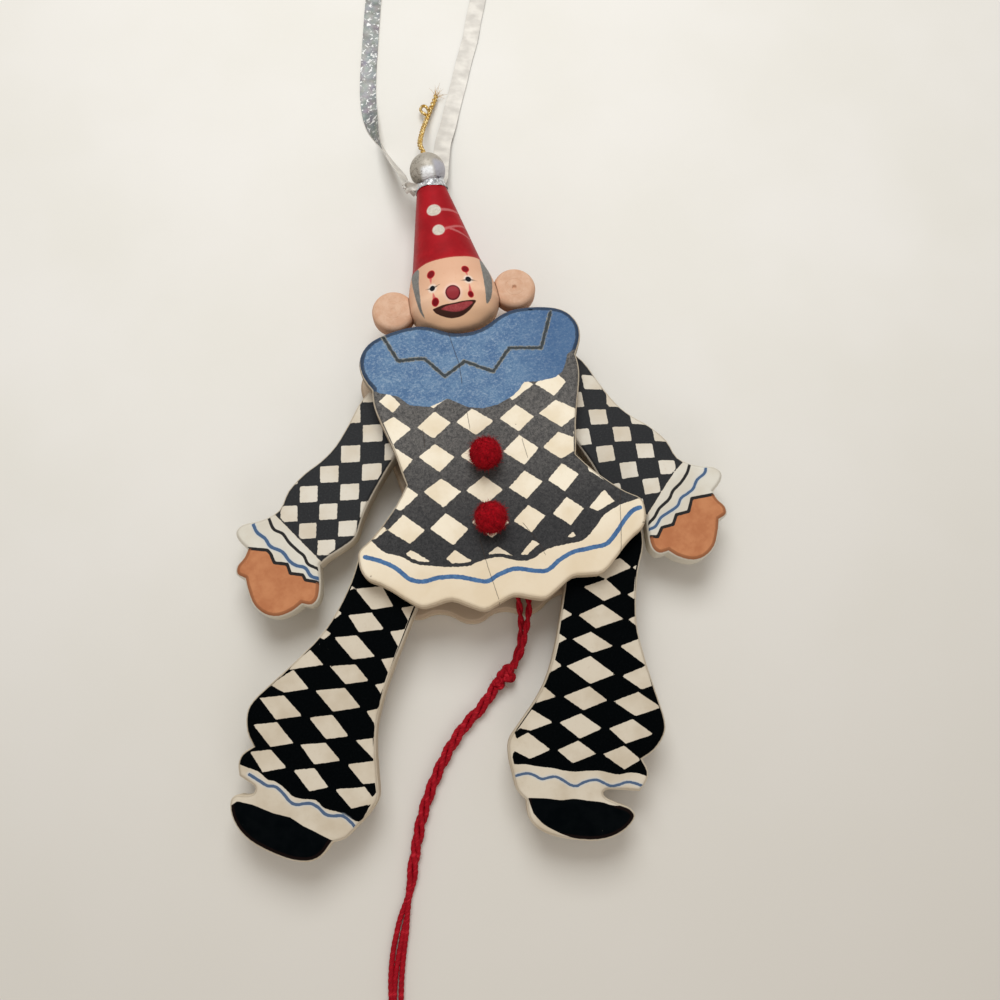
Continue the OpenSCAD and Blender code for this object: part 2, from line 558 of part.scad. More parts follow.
module arm_pull_strand() { color(cord_red) cord(arm_strand_route, [for (p = arm_strand_route) strand_r]); }
module leg_pull_strand() { color(cord_red) cord(leg_strand_route, [for (p = leg_strand_route) strand_r]); }
module pull_knot() { knot(knot_from, knot_to, knot_r); }
module pull_cord() { color(cord_red) cord(pull_route, [for (p = pull_route) bundle_r]); }
module end_knot() { knot(end_from, end_to, knot_r * 0.9); }

front_plate();
back_plate();
head();
ear_left();
ear_right();
ear_pegs();
silver_bead();
gold_cord();
ribbon_tie();
ribbon();
pompom_upper();
pompom_lower();
left_arm();
right_arm();
left_leg();
right_leg();
pivot_pin(left_shoulder);  // shoulder_pin_left
pivot_pin(right_shoulder);  // shoulder_pin_right
pivot_pin(left_hip);  // hip_pin_left
pivot_pin(right_hip);  // hip_pin_right
arm_string();
leg_string();
arm_pull_strand();
leg_pull_strand();
pull_knot();
pull_cord();
end_knot();
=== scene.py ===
"""Wooden clown jumping jack lying on a pale table: its camera, cords, painted pieces and finishes."""
import json
import math
import bmesh
import bpy
import numpy as np
from mathutils import Matrix, Vector
from mathutils.geometry import delaunay_2d_cdt


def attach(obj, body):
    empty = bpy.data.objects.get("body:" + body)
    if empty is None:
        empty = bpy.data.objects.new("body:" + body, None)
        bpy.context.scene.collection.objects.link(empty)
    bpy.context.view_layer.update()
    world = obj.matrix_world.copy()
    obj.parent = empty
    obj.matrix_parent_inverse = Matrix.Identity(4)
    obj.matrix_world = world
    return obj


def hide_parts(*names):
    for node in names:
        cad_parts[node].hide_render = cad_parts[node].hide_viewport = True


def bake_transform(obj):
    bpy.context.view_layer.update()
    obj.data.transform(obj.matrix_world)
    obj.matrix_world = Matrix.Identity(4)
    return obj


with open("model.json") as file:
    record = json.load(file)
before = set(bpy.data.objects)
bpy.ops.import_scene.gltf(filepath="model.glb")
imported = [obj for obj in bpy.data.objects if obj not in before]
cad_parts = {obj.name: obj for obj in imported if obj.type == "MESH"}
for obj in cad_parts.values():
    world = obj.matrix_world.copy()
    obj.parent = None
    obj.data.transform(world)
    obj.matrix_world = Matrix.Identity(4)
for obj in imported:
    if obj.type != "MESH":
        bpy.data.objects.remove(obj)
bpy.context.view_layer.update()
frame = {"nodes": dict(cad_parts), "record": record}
cad = frame["nodes"]
MM = 0.001

# The viewer's place and directions over the toy
view_place = Vector((-13.72, -37.48, 245)) * MM
view_right = Vector((0.98098, -0.19294, 0.02144))
view_up = Vector((0.18336, 0.95716, 0.2241))
view_back = Vector((-0.06375, -0.2159, 0.97433))

# Heights of the layers over the table and places of the head's parts, in mm
board_t = 5.0
gap_z = 8.6
face_z = 17.2
limb_top = 11.9
head_z = 11.35
ear_x = 15.3
ear_y = 66.0
bead_y = 103.65
bead_r = 4.6


def rgb(r, g, b):
    """Linear colour of a screen colour given from 0 to 255."""
    c = np.array([r, g, b]) / 255
    c = np.where(c <= 0.04045, c / 12.92, ((c + 0.055) / 1.055) ** 2.4)
    return (*c.tolist(), 1.0)


def rows(size, text):
    """A table of numbers, size to a row."""
    v = [float(word) for word in text.split()]
    return [v[k:k + size] for k in range(0, len(v), size)]


# Lines and surfaces


def along(p):
    """Distance along a line of points, from its first point."""
    return np.concatenate([[0], np.cumsum(np.linalg.norm(np.diff(p, axis=0), axis=1))])


def smooth_line(route, gap):
    """Points about gap apart on the smooth line through the route. Each stretch is the cubic whose slope at
    a point of the route is half the step between that point's neighbours."""
    p = np.array(route, float)
    e = np.vstack([2 * p[0] - p[1], p, 2 * p[-1] - p[-2]])
    a, b, c, d = (q[:, None] for q in (e[:-3], e[1:-2], e[2:-1], e[3:]))
    t = np.linspace(0, 1, 16, endpoint=False)[None, :, None]
    q = 0.5 * (2 * b + (c - a) * t + (2 * a - 5 * b + 4 * c - d) * t ** 2 + (3 * b - a - 3 * c + d) * t ** 3)
    q = np.vstack([q.reshape(-1, p.shape[1]), p[-1]])
    s = along(q)
    at = np.linspace(0, s[-1], max(3, int(round(s[-1] / gap)) + 1))
    return np.stack([np.interp(at, s, q[:, k]) for k in range(p.shape[1])], 1)


def frames(p, up=(0, 0, 1)):
    """Direction, side and lift of a line at each point: side is square to the direction and to up, and lift
    is square to both."""
    t = np.gradient(p, axis=0)
    t /= np.linalg.norm(t, axis=1)[:, None]
    s = np.cross(t, up)
    s /= np.linalg.norm(s, axis=1)[:, None]
    return t, s, np.cross(s, t)


def ring_angles(sides):
    return 2 * math.pi * np.arange(sides) / sides


def tube(p, r, sides=8, up=(0, 0, 1)):
    """A round skin along p: point + r(cos a side + sin a lift), where r has one value, one to each point, or
    one to each point and side."""
    t, s, u = frames(p, up)
    a = ring_angles(sides)
    r = np.asarray(r, float)
    r = r[:, None] if r.ndim == 1 else r
    r = np.broadcast_to(r, (len(p), sides))[..., None]
    return p[:, None] + r * (np.cos(a)[:, None] * s[:, None] + np.sin(a)[:, None] * u[:, None])


def wound(p, lay, turns, start=0.0, up=(0, 0, 1)):
    """The line that winds round p at distance lay and makes turns turns on the way."""
    t, s, u = frames(p, up)
    a = start + 2 * math.pi * turns * (along(p) / along(p)[-1])
    lay = np.broadcast_to(np.asarray(lay, float), (len(p),))
    return p + lay[:, None] * (np.cos(a)[:, None] * s + np.sin(a)[:, None] * u)


def turned(profile, sides, axis="y", at=(0, 0, 0)):
    """The surface that a profile of (radius, height) makes when it turns about an axis through at."""
    q = np.array(profile, float)
    a = ring_angles(sides)
    x, y = q[:, :1] * np.sin(a), q[:, :1] * np.cos(a)
    h = np.broadcast_to(q[:, 1:], x.shape)
    return np.stack((x, h, y) if axis == "y" else (y, x, h), -1) + np.array(at, float)


def grid_quads(m, n):
    """Ring and side of each four-sided face of m rings of n points, and the numbers of its corners."""
    i, k = np.meshgrid(np.arange(m - 1), np.arange(n), indexing="ij")
    i, k = i.ravel(), k.ravel()
    k1 = (k + 1) % n
    return i, k, np.stack([i * n + k, (i + 1) * n + k, (i + 1) * n + k1, i * n + k1], 1)


class Piece:
    """A mesh gathered from closed skins, in mm, that becomes one object in metres."""

    def __init__(self, name):
        self.name = name
        self.points, self.quads, self.tris = [], [], []
        self.quad_uv, self.tri_uv, self.quad_slot, self.tri_slot = [], [], [], []
        self.count = 0
        self.values = {}

    def skin(self, p, ends=True, turn=False, slot=0, twist=0.0, **values):
        """Adds a grid of points, joined round in its second direction, with its ends closed by fans. Its UV
        runs once round, plus twist turns a mm, and along in mm."""
        m, n = p.shape[:2]
        i, k, q = grid_quads(m, n)
        v = along(p.mean(1))
        uv = np.stack([np.stack([(k + dk) / n + twist * v[i + di], v[i + di]], 1)
                       for di, dk in ((0, 0), (1, 0), (1, 1), (0, 1))], 1)
        pts = p.reshape(-1, 3)
        tri = np.zeros((0, 3), int)
        tri_uv = np.zeros((0, 3, 2))
        if ends:
            pts = np.vstack([pts, p[0].mean(0), p[-1].mean(0)])
            ks = np.arange(n)
            kn = (ks + 1) % n
            a, b = m * n, m * n + 1
            tri = np.vstack([np.stack([np.full(n, a), ks, kn], 1),
                             np.stack([np.full(n, b), (m - 1) * n + kn, (m - 1) * n + ks], 1)])
            edge = np.stack([np.full(n, .5), ks / n, (ks + 1) / n], 1)
            first = np.stack([edge, np.full((n, 3), v[0])], 2)
            last = np.stack([edge[:, [0, 2, 1]], np.full((n, 3), v[-1])], 2)
            tri_uv = np.vstack([first, last])
        if turn:
            q, uv = q[:, ::-1], uv[:, ::-1]
            tri, tri_uv = tri[:, ::-1], tri_uv[:, ::-1]
        self.points.append(pts)
        self.quads.append(q + self.count)
        self.tris.append(tri + self.count)
        self.quad_uv.append(uv)
        self.tri_uv.append(tri_uv)
        self.quad_slot.append(np.full(len(q), slot))
        self.tri_slot.append(np.full(len(tri), slot))
        for name, value in values.items():
            full = np.broadcast_to(np.asarray(value, float), (m, n)).ravel()
            if ends:
                full = np.concatenate([full, [full[0], full[-1]]])
            self.values.setdefault(name, []).append((self.count, full))
        self.count += len(pts)
        return self

    def rings(self, p, slot=0):
        """Adds many small alike closed skins at once: p is shape, ring, side, place."""
        k, m, n = p.shape[:3]
        q = grid_quads(m, n)[2]
        cap = np.stack([np.full(n - 2, 0), np.arange(1, n - 1), np.arange(2, n)], 1)
        tri = np.vstack([cap, cap[:, ::-1] + (m - 1) * n])
        step = (np.arange(k) * m * n)[:, None, None] + self.count
        self.quads.append((q[None] + step).reshape(-1, 4))
        self.tris.append((tri[None] + step).reshape(-1, 3))
        self.points.append(p.reshape(-1, 3))
        self.quad_uv.append(np.zeros((k * len(q), 4, 2)))
        self.tri_uv.append(np.zeros((k * len(tri), 3, 2)))
        self.quad_slot.append(np.full(k * len(q), slot))
        self.tri_slot.append(np.full(k * len(tri), slot))
        self.count += k * m * n
        return self

    def finish(self, body, nodes, slot, finishes, bend=None):
        """Makes the object, gives it its body, the solids that it stands for and its finishes. The bend
        points are not used: a piece given them rides on no body."""
        verts = np.vstack(self.points)
        verts[:, 2] = np.maximum(verts[:, 2], 0.03)
        verts = verts * MM
        quads, tris = np.vstack(self.quads), np.vstack(self.tris)
        uv = np.vstack([np.vstack(self.quad_uv).reshape(-1, 2), np.vstack(self.tri_uv).reshape(-1, 2)])
        slots = np.concatenate(self.quad_slot + self.tri_slot)
        mesh = fill_mesh(self.name, verts, quads, tris)
        mesh.uv_layers.new(name="UVMap").data.foreach_set("uv", uv.ravel().astype(np.float32))
        mesh.polygons.foreach_set("material_index", slots.astype(np.int32))
        for name, parts in self.values.items():
            full = np.zeros(len(verts), np.float32)
            for start, part in parts:
                full[start:start + len(part)] = part
            mesh.attributes.new(name, "FLOAT", "POINT").data.foreach_set("value", full)
        return settle(mesh, body, nodes, finishes, bend=bend)


def fill_mesh(name, verts, quads, tris):
    """A mesh from arrays of points, four-sided and three-sided faces."""
    mesh = bpy.data.meshes.new(name)
    loops = np.concatenate([np.ravel(quads), np.ravel(tris)]).astype(np.int32)
    sizes = np.concatenate([np.full(len(quads), 4), np.full(len(tris), 3)])
    starts = np.concatenate([[0], np.cumsum(sizes)[:-1]]).astype(np.int32)
    mesh.vertices.add(len(verts))
    mesh.vertices.foreach_set("co", np.ravel(verts).astype(np.float32))
    mesh.loops.add(len(loops))
    mesh.loops.foreach_set("vertex_index", loops)
    mesh.polygons.add(len(sizes))
    mesh.polygons.foreach_set("loop_start", starts)
    mesh.update(calc_edges=True)
    return mesh


def settle(mesh, body, nodes, finishes, sharp=None, bend=None):
    """The object of a finished mesh, riding on its body, or on no body where bend points are given."""
    mesh.shade_smooth()
    if sharp:
        mesh.set_sharp_from_angle(angle=math.radians(sharp))
    obj = bpy.data.objects.new(mesh.name, mesh)
    bpy.context.scene.collection.objects.link(obj)
    for finish in finishes:
        mesh.materials.append(finish)
    if bend:
        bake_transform(obj)
    else:
        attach(obj, body)
    if nodes:
        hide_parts(*nodes)
    return obj


# Distances on a painted face, in mm; far_off stands for a paint that isn't there

far_off = -9.0


def nearest(q, line, closed=False):
    """Distance of each point of q from a line, and whether it lies on the line's left."""
    p = np.array(line, float)
    if closed:
        p = np.vstack([p, p[:1]])
    best = np.full(len(q), 1e9)
    left = np.zeros(len(q), bool)
    for a, b in zip(p[:-1], p[1:]):
        d = b - a
        t = np.clip((q - a) @ d / max(d @ d, 1e-9), 0, 1)
        away = q - a - t[:, None] * d
        r = np.hypot(away[:, 0], away[:, 1])
        side = d[0] * (q[:, 1] - a[1]) - d[1] * (q[:, 0] - a[0]) > 0
        near = r < best - 1e-9
        best = np.where(near, r, best)
        left = np.where(near, side, left)
    return best, left


def beside(q, line):
    """Distance from a line, above 0 on its left."""
    r, left = nearest(q, line)
    return np.where(left, r, -r)


def stripe(q, line, half):
    """Distance inside a stripe that reaches half its width to each side of a line."""
    return half - nearest(q, line)[0]


def within(q, a, b):
    """Whether points lie inside the closed outline whose edges run from a to b."""
    x, y = q[:, :1], q[:, 1:]
    cross = (a[:, 1] > y) != (b[:, 1] > y)
    rise = b[:, 1] - a[:, 1]
    rise = np.where(np.abs(rise) < 1e-12, 1e-12, rise)
    at = a[:, 0] + (y - a[:, 1]) * (b[:, 0] - a[:, 0]) / rise
    return (cross & (x < at)).sum(1) % 2 == 1


def inside(q, outline):
    """Distance from a closed outline, above 0 inside it."""
    p = np.array(outline, float)
    r, _ = nearest(q, p, closed=True)
    return np.where(within(q, p, np.roll(p, -1, 0)), r, -r)


def lattice(q, origin, across, down, bend):
    """Lattice places s and t of the points, where a point is origin + s across + t down, bent by st, ss and
    tt times the three bend steps."""
    origin, across, down = (np.array(v, float) for v in (origin, across, down))
    bend = np.array(bend, float)
    back = np.linalg.inv(np.stack([across, down], 1))
    st = (q - origin) @ back.T
    for _ in range(6):
        s, t = st[:, :1], st[:, 1:]
        st = (q - origin - s * t * bend[0] - s * s * bend[1] - t * t * bend[2]) @ back.T
    return st[:, 0], st[:, 1]


# Finishes


class Finish:
    """A finish's nodes, with short calls for the ones that it uses; lengths are in mm and colours are those
    of a screen, from 0 to 255."""

    def __init__(self, name):
        self.material = bpy.data.materials.new(name)
        self.material.use_nodes = True
        self.tree = self.material.node_tree
        self.shader = next(n for n in self.tree.nodes if n.type == "BSDF_PRINCIPLED")
        self.place = self.tree.nodes.new("ShaderNodeTexCoord")
        self.mm = self.vector("SCALE", self.place.outputs["Object"], scale=1000.0)

    def put(self, socket, value):
        if isinstance(value, bpy.types.NodeSocket):
            self.tree.links.new(value, socket)
        elif socket.type == "RGBA":
            socket.default_value = rgb(*value)
        else:
            socket.default_value = value

    def node(self, kind, inputs, **settings):
        """The outputs of a new node with these settings and those of the inputs that have a value."""
        n = self.tree.nodes.new("ShaderNode" + kind)
        for key, value in settings.items():
            setattr(n, key, value)
        for key, value in inputs.items():
            if value is not None:
                self.put(n.inputs[key], value)
        return n.outputs

    def vector(self, kind, a, b=None, scale=None):
        return self.node("VectorMath", {0: a, 1: b, "Scale": scale}, operation=kind)[0]

    def math(self, kind, a, b=0.0, c=None):
        return self.node("Math", {0: a, 1: b, 2: c}, operation=kind)[0]

    def times(self, a, b):
        return self.math("MULTIPLY", a, b)

    def plus(self, a, b):
        return self.math("ADD", a, b)

    def noise(self, scale, detail=3.0, rough=0.5, at=None, stretch=None, colour=False, warp=0.0):
        at = self.mm if at is None else at
        if stretch is not None:
            at = self.vector("MULTIPLY", at, stretch)
        inputs = {"Vector": at, "Scale": scale, "Detail": detail, "Roughness": rough, "Distortion": warp}
        return self.node("TexNoise", inputs)["Color" if colour else "Fac"]

    def value(self, name):
        return self.node("Attribute", {}, attribute_name=name)["Fac"]

    def axis(self, k):
        """The place across, up or out, in mm."""
        return self.node("SeparateXYZ", {0: self.mm})[k]

    def uv(self):
        return self.place.outputs["UV"]

    def part(self, value, low=0.3, high=0.7, to=(0.0, 1.0), soft=True):
        """How far a value is on its way from low to high."""
        inputs = {"Value": value, "From Min": low, "From Max": high, "To Min": to[0], "To Max": to[1]}
        kind = "SMOOTHSTEP" if soft else "LINEAR"
        return self.node("MapRange", inputs, interpolation_type=kind, clamp=True)["Result"]

    def mix(self, share, a, b):
        return self.node("Mix", {0: share, 6: a, 7: b}, data_type="RGBA")[2]

    def over(self, under, tone, share, more=None):
        """A colour with a tone laid over it, as strong as the product of its shares."""
        return self.mix(share if more is None else self.times(share, more), under, tone)

    def bump(self, height, depth, strength=1.0):
        """Relief of height times depth mm."""
        return self.node("Bump", {"Strength": strength, "Distance": depth * MM, "Height": height})["Normal"]

    def set(self, **sockets):
        names = {"colour": "Base Color", "rough": "Roughness", "normal": "Normal", "metal": "Metallic",
                 "sheen": "Sheen Weight", "sheen_rough": "Sheen Roughness", "sheen_tint": "Sheen Tint",
                 "level": "Specular IOR Level"}
        for key, value in sockets.items():
            self.put(self.shader.inputs[names[key]], value)
        return self.material


# The viewer, the light and the table

lens = bpy.data.cameras.new("viewer")
lens.sensor_width = 36
lens.lens = 36
lens.clip_start = 0.01
viewer = bpy.data.objects.new("viewer", lens)
turn = Matrix((view_right, view_up, view_back)).transposed().to_4x4()
viewer.matrix_world = Matrix.Translation(view_place) @ turn
bpy.context.scene.collection.objects.link(viewer)
bpy.context.scene.camera = viewer


def lamp(name, place, aim, size, power, colour=(1, 1, 1)):
    """A square soft lamp that looks from one point to another, in mm."""
    data = bpy.data.lights.new(name, "AREA")
    data.size = size * MM
    data.energy = power
    data.color = colour
    obj = bpy.data.objects.new(name, data)
    place, aim = Vector(place) * MM, Vector(aim) * MM
    obj.matrix_world = Matrix.Translation(place) @ (place - aim).to_track_quat("Z", "Y").to_matrix().to_4x4()
    bpy.context.scene.collection.objects.link(obj)


lamp("window", (20, 290, 450), (0, 20, 0), 300, 1.86, (0.96, 0.987, 1.0))
lamp("far window", (-40, -420, 230), (0, 20, 0), 250, 0.4, (1.0, 0.97, 0.94))
room = bpy.data.worlds.new("room")
room.use_nodes = True
room.node_tree.nodes["Background"].inputs["Color"].default_value = (1.0, 0.935, 0.87, 1)
room.node_tree.nodes["Background"].inputs["Strength"].default_value = 0.42
bpy.context.scene.world = room
bpy.context.scene.view_settings.view_transform = "Standard"


def table_finish():
    """Pale table top, a little darker towards its near side: painted shade where the light falls off."""
    f = Finish("pale table")
    cloud = f.noise(0.02, 3.0)
    speck = f.part(f.noise(1.6, 2.0), 0.74, 0.78)
    colour = f.mix(f.part(cloud), (229, 226, 218), (233, 230, 224))
    # Painted shade: the table darkens towards its near side, where the light falls off
    near = f.part(f.axis(1), 60.0, -140.0, soft=False)
    colour = f.over(colour, (212, 207, 198), near)
    colour = f.over(colour, (214, 208, 199), speck, 0.4)
    fine = f.noise(0.6, 5.0, 0.6)
    return f.set(colour=colour, rough=f.part(fine, 0.2, 0.8, (0.56, 0.66)), level=0.3,
                 normal=f.bump(fine, 0.04, strength=0.3))


table = bpy.data.meshes.new("table")
reach = 1.6
table_z = -0.00006
table_corners = [(x * reach, y * reach, table_z) for x, y in ((-1, -1), (1, -1), (1, 1), (-1, 1))]
table.from_pydata(table_corners, [], [(0, 1, 2, 3)])
table_top = bpy.data.objects.new("table", table)
bpy.context.scene.collection.objects.link(table_top)
table.materials.append(table_finish())


# Cords

# Each route gives the places along a cord's middle line, in mm
gold_route = rows(3, """0 91.25 11.35  0 98.2 11.35  0 103.6 11.35  0 108.25 11.35  -0.4 110.4 10.9
    -0.5 112.6 9.8  0.2 116.2 7  1.2 119.6 5  2.2 122.4 3.4  3.2 124.8 2.4  4.2 126.8 2  5.2 128.6 1.8
    6.2 130.4 1.4  6.9 131.8 1.2""")
ribbon_route = rows(3, """-6.1 101.3 10.3  -6.5 105 8.8  -7.3 107.8 7.4  -8 110.4 6  -8.7 113 4.6
    -9.5 116 3.4  -10.3 119.2 2.4  -11.1 122.8 1.5  -11.7 126.6 0.9  -11.8 130.4 0.5  -11.4 135.8 0.4
    -10.2 142.6 0.4  -8.5 150.2 0.4  -6.4 159.4 0.4  -4.8 166 0.4  -2.6 173 0.4  0.6 180 0.4
    5.4 186.4 0.4  11.4 190.4 0.4  18.2 190.8 0.4  24 187.2 0.4  27 181.2 0.4  27.6 174.4 0.4
    26.4 167.4 0.4  24.2 160.8 0.4  21.8 154.6 0.4  19.6 148.4 0.4  16.8 142.2 0.4  13.8 135 0.4
    11.1 128.8 0.4  8.6 122.6 0.8  6.3 117.4 1.4  4.9 112.4 2.2  3.8 107.8 3.2  3.1 104.2 4.6  2.2 101 6.9""")
arm_strand_route = rows(3, """1 33.7 8.6  1 20 9.2  1.1 7 10.2  1.3 -1 10.4  1.5 -6 9.6  1.4 -10.6 7.6
    1.2 -14.2 5.4  0.7 -17 4  -0.1 -19.6 2.7  -1.5 -22.2 1.8  -3 -24.6 1.5""")
leg_strand_route = rows(3, """3.5 -3.5 8.6  3.8 -7.6 8.6  3.7 -11 8  3 -13.8 7.2  2 -16.6 6  1 -19 5
    0.2 -21 4.1  -1.2 -23 3.3  -2.6 -24.8 2.8""")
pull_route = rows(3, """-7.8 -28.4 2  -9.8 -30.5 1.8  -12.3 -32.8 1.6  -16.2 -35.6 1.6  -20.2 -39.4 1.6
    -24.1 -44.2 1.6  -27.4 -49.2 1.6  -30 -54 1.6  -32 -58.8 1.6  -33.7 -63.6 1.6  -35.2 -68 1.6
    -36.8 -72.4 1.6  -38.8 -77.6 1.6  -40.8 -83 1.6  -42.2 -88 1.6  -43.2 -93.4 1.6  -44 -99.6 1.6
    -44.6 -106 1.8""")


def cord_finish(name, dark, mid, light, sheen=0.5):
    """Twisted cotton: thin fibres run along each strand and turn with it."""
    f = Finish(name)
    fibre = f.noise(1.0, 3.0, 0.6, at=f.uv(), stretch=(26.0, 1.3, 1.0))
    coarse = f.noise(1.0, 2.0, 0.5, at=f.uv(), stretch=(9.0, 0.6, 1.0))
    colour = f.mix(f.part(fibre, 0.25, 0.7), dark, mid)
    colour = f.over(colour, light, f.part(coarse, 0.5, 0.8))
    return f.set(colour=colour, rough=0.72, level=0.15, sheen=sheen, sheen_rough=0.4, sheen_tint=light,
                 normal=f.bump(fibre, 0.12, strength=0.8))


red_cord = cord_finish("red cotton", (108, 0, 14), (176, 6, 28), (214, 46, 60), 0.08)


def ridged(p, r, ply_turns, sides=12, plies=3, depth=0.16, up=(0, 0, 1), start=0.0):
    """A strand whose skin shows its plies: the radius dips between them, and the dips turn along it."""
    a = ring_angles(sides)[None]
    turn_here = start + 2 * math.pi * ply_turns * (along(p) / along(p)[-1])[:, None]
    shape = np.abs(np.cos(plies * (a - turn_here) / 2))
    r = np.asarray(r, float)
    r = r[:, None] if r.ndim == 1 else r
    return tube(p, r * (1 - depth + depth * shape), sides, up)


def stray_hairs(p, r, count, length, seed, thick=0.028, up=(0, 0, 1)):
    """Loose fibre ends: each leaves the line's skin, bends over and thins out."""
    rng = np.random.default_rng(seed)
    t, s, u = frames(p, up)
    at = rng.integers(0, len(p), count)
    a = rng.uniform(0, 2 * math.pi, count)[:, None]
    out = np.cos(a) * s[at] + np.sin(a) * u[at]
    root = p[at] + 0.9 * np.asarray(r) * out
    lean = out + t[at] * rng.normal(0, 1.2, (count, 1)) + rng.normal(0, 0.3, (count, 3))
    lean /= np.linalg.norm(lean, axis=1)[:, None]
    bend = rng.normal(0, 0.5, (count, 3))
    size = length * rng.uniform(0.4, 1.0, (count, 1))
    return fibres(root, lean, bend, size, thick)


def fibres(root, lean, bend, size, thick, steps=3):
    """Thin three-sided hairs: root + size(f lean + f f bend), f from 0 to 1, thinning towards the end."""
    f = np.linspace(0, 1, steps + 1)[None, :, None]
    line = root[:, None] + size[:, None] * (f * lean[:, None] + f * f * bend[:, None])
    way = np.gradient(line, axis=1)
    way /= np.linalg.norm(way, axis=2)[..., None] + 1e-9
    side = np.cross(way, np.array([0.31, 0.67, 0.67]))
    side /= np.linalg.norm(side, axis=2)[..., None] + 1e-9
    lift = np.cross(side, way)
    a = ring_angles(3)[None, None, :, None]
    r = thick * (1.0 - 0.75 * f)[..., None]
    return line[:, :, None] + r * (np.cos(a) * side[:, :, None] + np.sin(a) * lift[:, :, None])


def overhand(piece, centre, heading, size, r, phase):
    """A pulled-tight overhand knot: the line (sin a + 2 sin 2a, cos a - 2 cos 2a, -sin 3a), made long along
    the cord, as two ridged strands side by side."""
    a = np.linspace(0, 2 * math.pi, 90)
    flat = np.stack([np.sin(a) + 2 * np.sin(2 * a), np.cos(a) - 2 * np.cos(2 * a), -1.25 * np.sin(3 * a)], 1)
    h = np.array(heading, float)
    h /= np.linalg.norm(h)
    side = np.cross(h, (0, 0, 1))
    side /= np.linalg.norm(side)
    lift = np.cross(side, h)
    tilted = (0.3, 0.2, 0.93)
    p = centre + size * (flat[:, :1] * h * 1.1 + flat[:, 1:2] * side * 0.95 + flat[:, 2:] * lift * 0.9)
    for k in range(2):
        line = wound(p, 0.42 * r, 5, start=math.pi * k + phase, up=tilted)
        piece.skin(ridged(line, 0.72 * r, 8, 10, depth=0.14, up=tilted, start=phase), twist=0.4)


def pull_strand(node, line, turns, ply_turns, hairs, seed):
    """A strand of the pull: two ridged plies wound half a turn apart round the line, with loose fibres."""
    strand = Piece(node + "_cotton")
    for k in range(2):
        ply = wound(line, 0.37, turns, start=k * math.pi)
        strand.skin(ridged(ply, 0.48, ply_turns, plies=2), twist=0.45)
    strand.rings(stray_hairs(line, 0.7, hairs, 0.8, seed))
    return strand.finish("pull", [node], "red_cord", [red_cord])


def tight_knot(node, way, turns, ends, fluff, hairs, length, seed):
    """A knot of the pull: an overhand knot about each place of turns, and loose fibres about the line between
    its ends."""
    knot = Piece(node + "_cotton")
    for place, size, r, phase in turns:
        overhand(knot, np.array(place), way, size, r, phase)
    knot.rings(stray_hairs(np.linspace(*ends, 20), fluff, hairs, length, seed))
    return knot.finish("pull", [node], "red_cord", [red_cord])


arm_line = smooth_line(arm_strand_route, 0.3)
leg_line = smooth_line([[3.4, -2.4, gap_z]] + leg_strand_route, 0.3)
pull_line = smooth_line(pull_route, 0.28)

arm_strand = pull_strand("arm_pull_strand", arm_line, 8, 34, 40, 3)

pull_strand("leg_pull_strand", leg_line, 3.5, 15, 24, 4)

knot = tight_knot("pull_knot", (-4.8, -3.5, 0),
                  (((-4.5, -26.0, 2.35), 0.5, 0.95, 0.4), ((-6.9, -27.7, 2.1), 0.36, 0.72, 1.7)),
                  ((-3.4, -25.2, 2.2), (-7.6, -28.2, 2.2)), 1.7, 40, 1.1, 5)

# The bundle's three strands lie twisted near the knot and drift apart further down
pull = Piece("pull_cord_cotton")
share = along(pull_line) / along(pull_line)[-1]
strand_r = 0.66
_, t_side, t_lift = frames(pull_line)
drift = np.clip((share - 0.45) / 0.25, 0, 1)
for k in range(3):
    twisted = wound(pull_line, 0.76, 6.5, start=k * 2 * math.pi / 3) - pull_line
    apart = (k - 1) * (0.95 + 0.12 * np.sin(9 * share + k))[:, None] * t_side
    apart = apart - 0.55 * t_lift + 0.25 * np.sin(14 * share + 2 * k)[:, None] * t_side
    keep = (1 - drift)[:, None]
    line = pull_line + keep * twisted + (1 - keep) * apart
    pull.skin(ridged(line, strand_r, 34, 14, plies=2, depth=0.2, start=k), twist=0.4)
pull.rings(stray_hairs(pull_line, 1.3, 130, 0.8, 6))
pull = pull.finish("pull", ["pull_cord"], "red_cord", [red_cord])

end = tight_knot("end_knot", (-0.6, -5.6, 0),
                 (((-44.75, -107.7, 2.2), 0.48, 0.9, 0.9), ((-45.0, -110.3, 2.0), 0.33, 0.66, 2.2)),
                 ((-44.7, -107, 2.1), (-45.1, -111, 2.1)), 1.6, 60, 1.4, 7)

# Gold cord: two bright plies through the bead, a small knot and a frayed end


def gold_finish():
    f = Finish("gold thread")
    fibre = f.noise(1.0, 2.0, 0.5, at=f.uv(), stretch=(14.0, 3.0, 1.0))
    colour = f.mix(f.part(fibre), (120, 80, 18), (232, 180, 66))
    # Painted glints: bright flecks along the plies
    painted_glint = f.part(f.noise(1.0, 2.0, 0.5, at=f.uv(), stretch=(7.0, 1.6, 1.0)), 0.52, 0.6)
    colour = f.over(colour, (255, 240, 184), painted_glint)
    return f.set(colour=colour, rough=0.32, metal=0.6, normal=f.bump(fibre, 0.08))


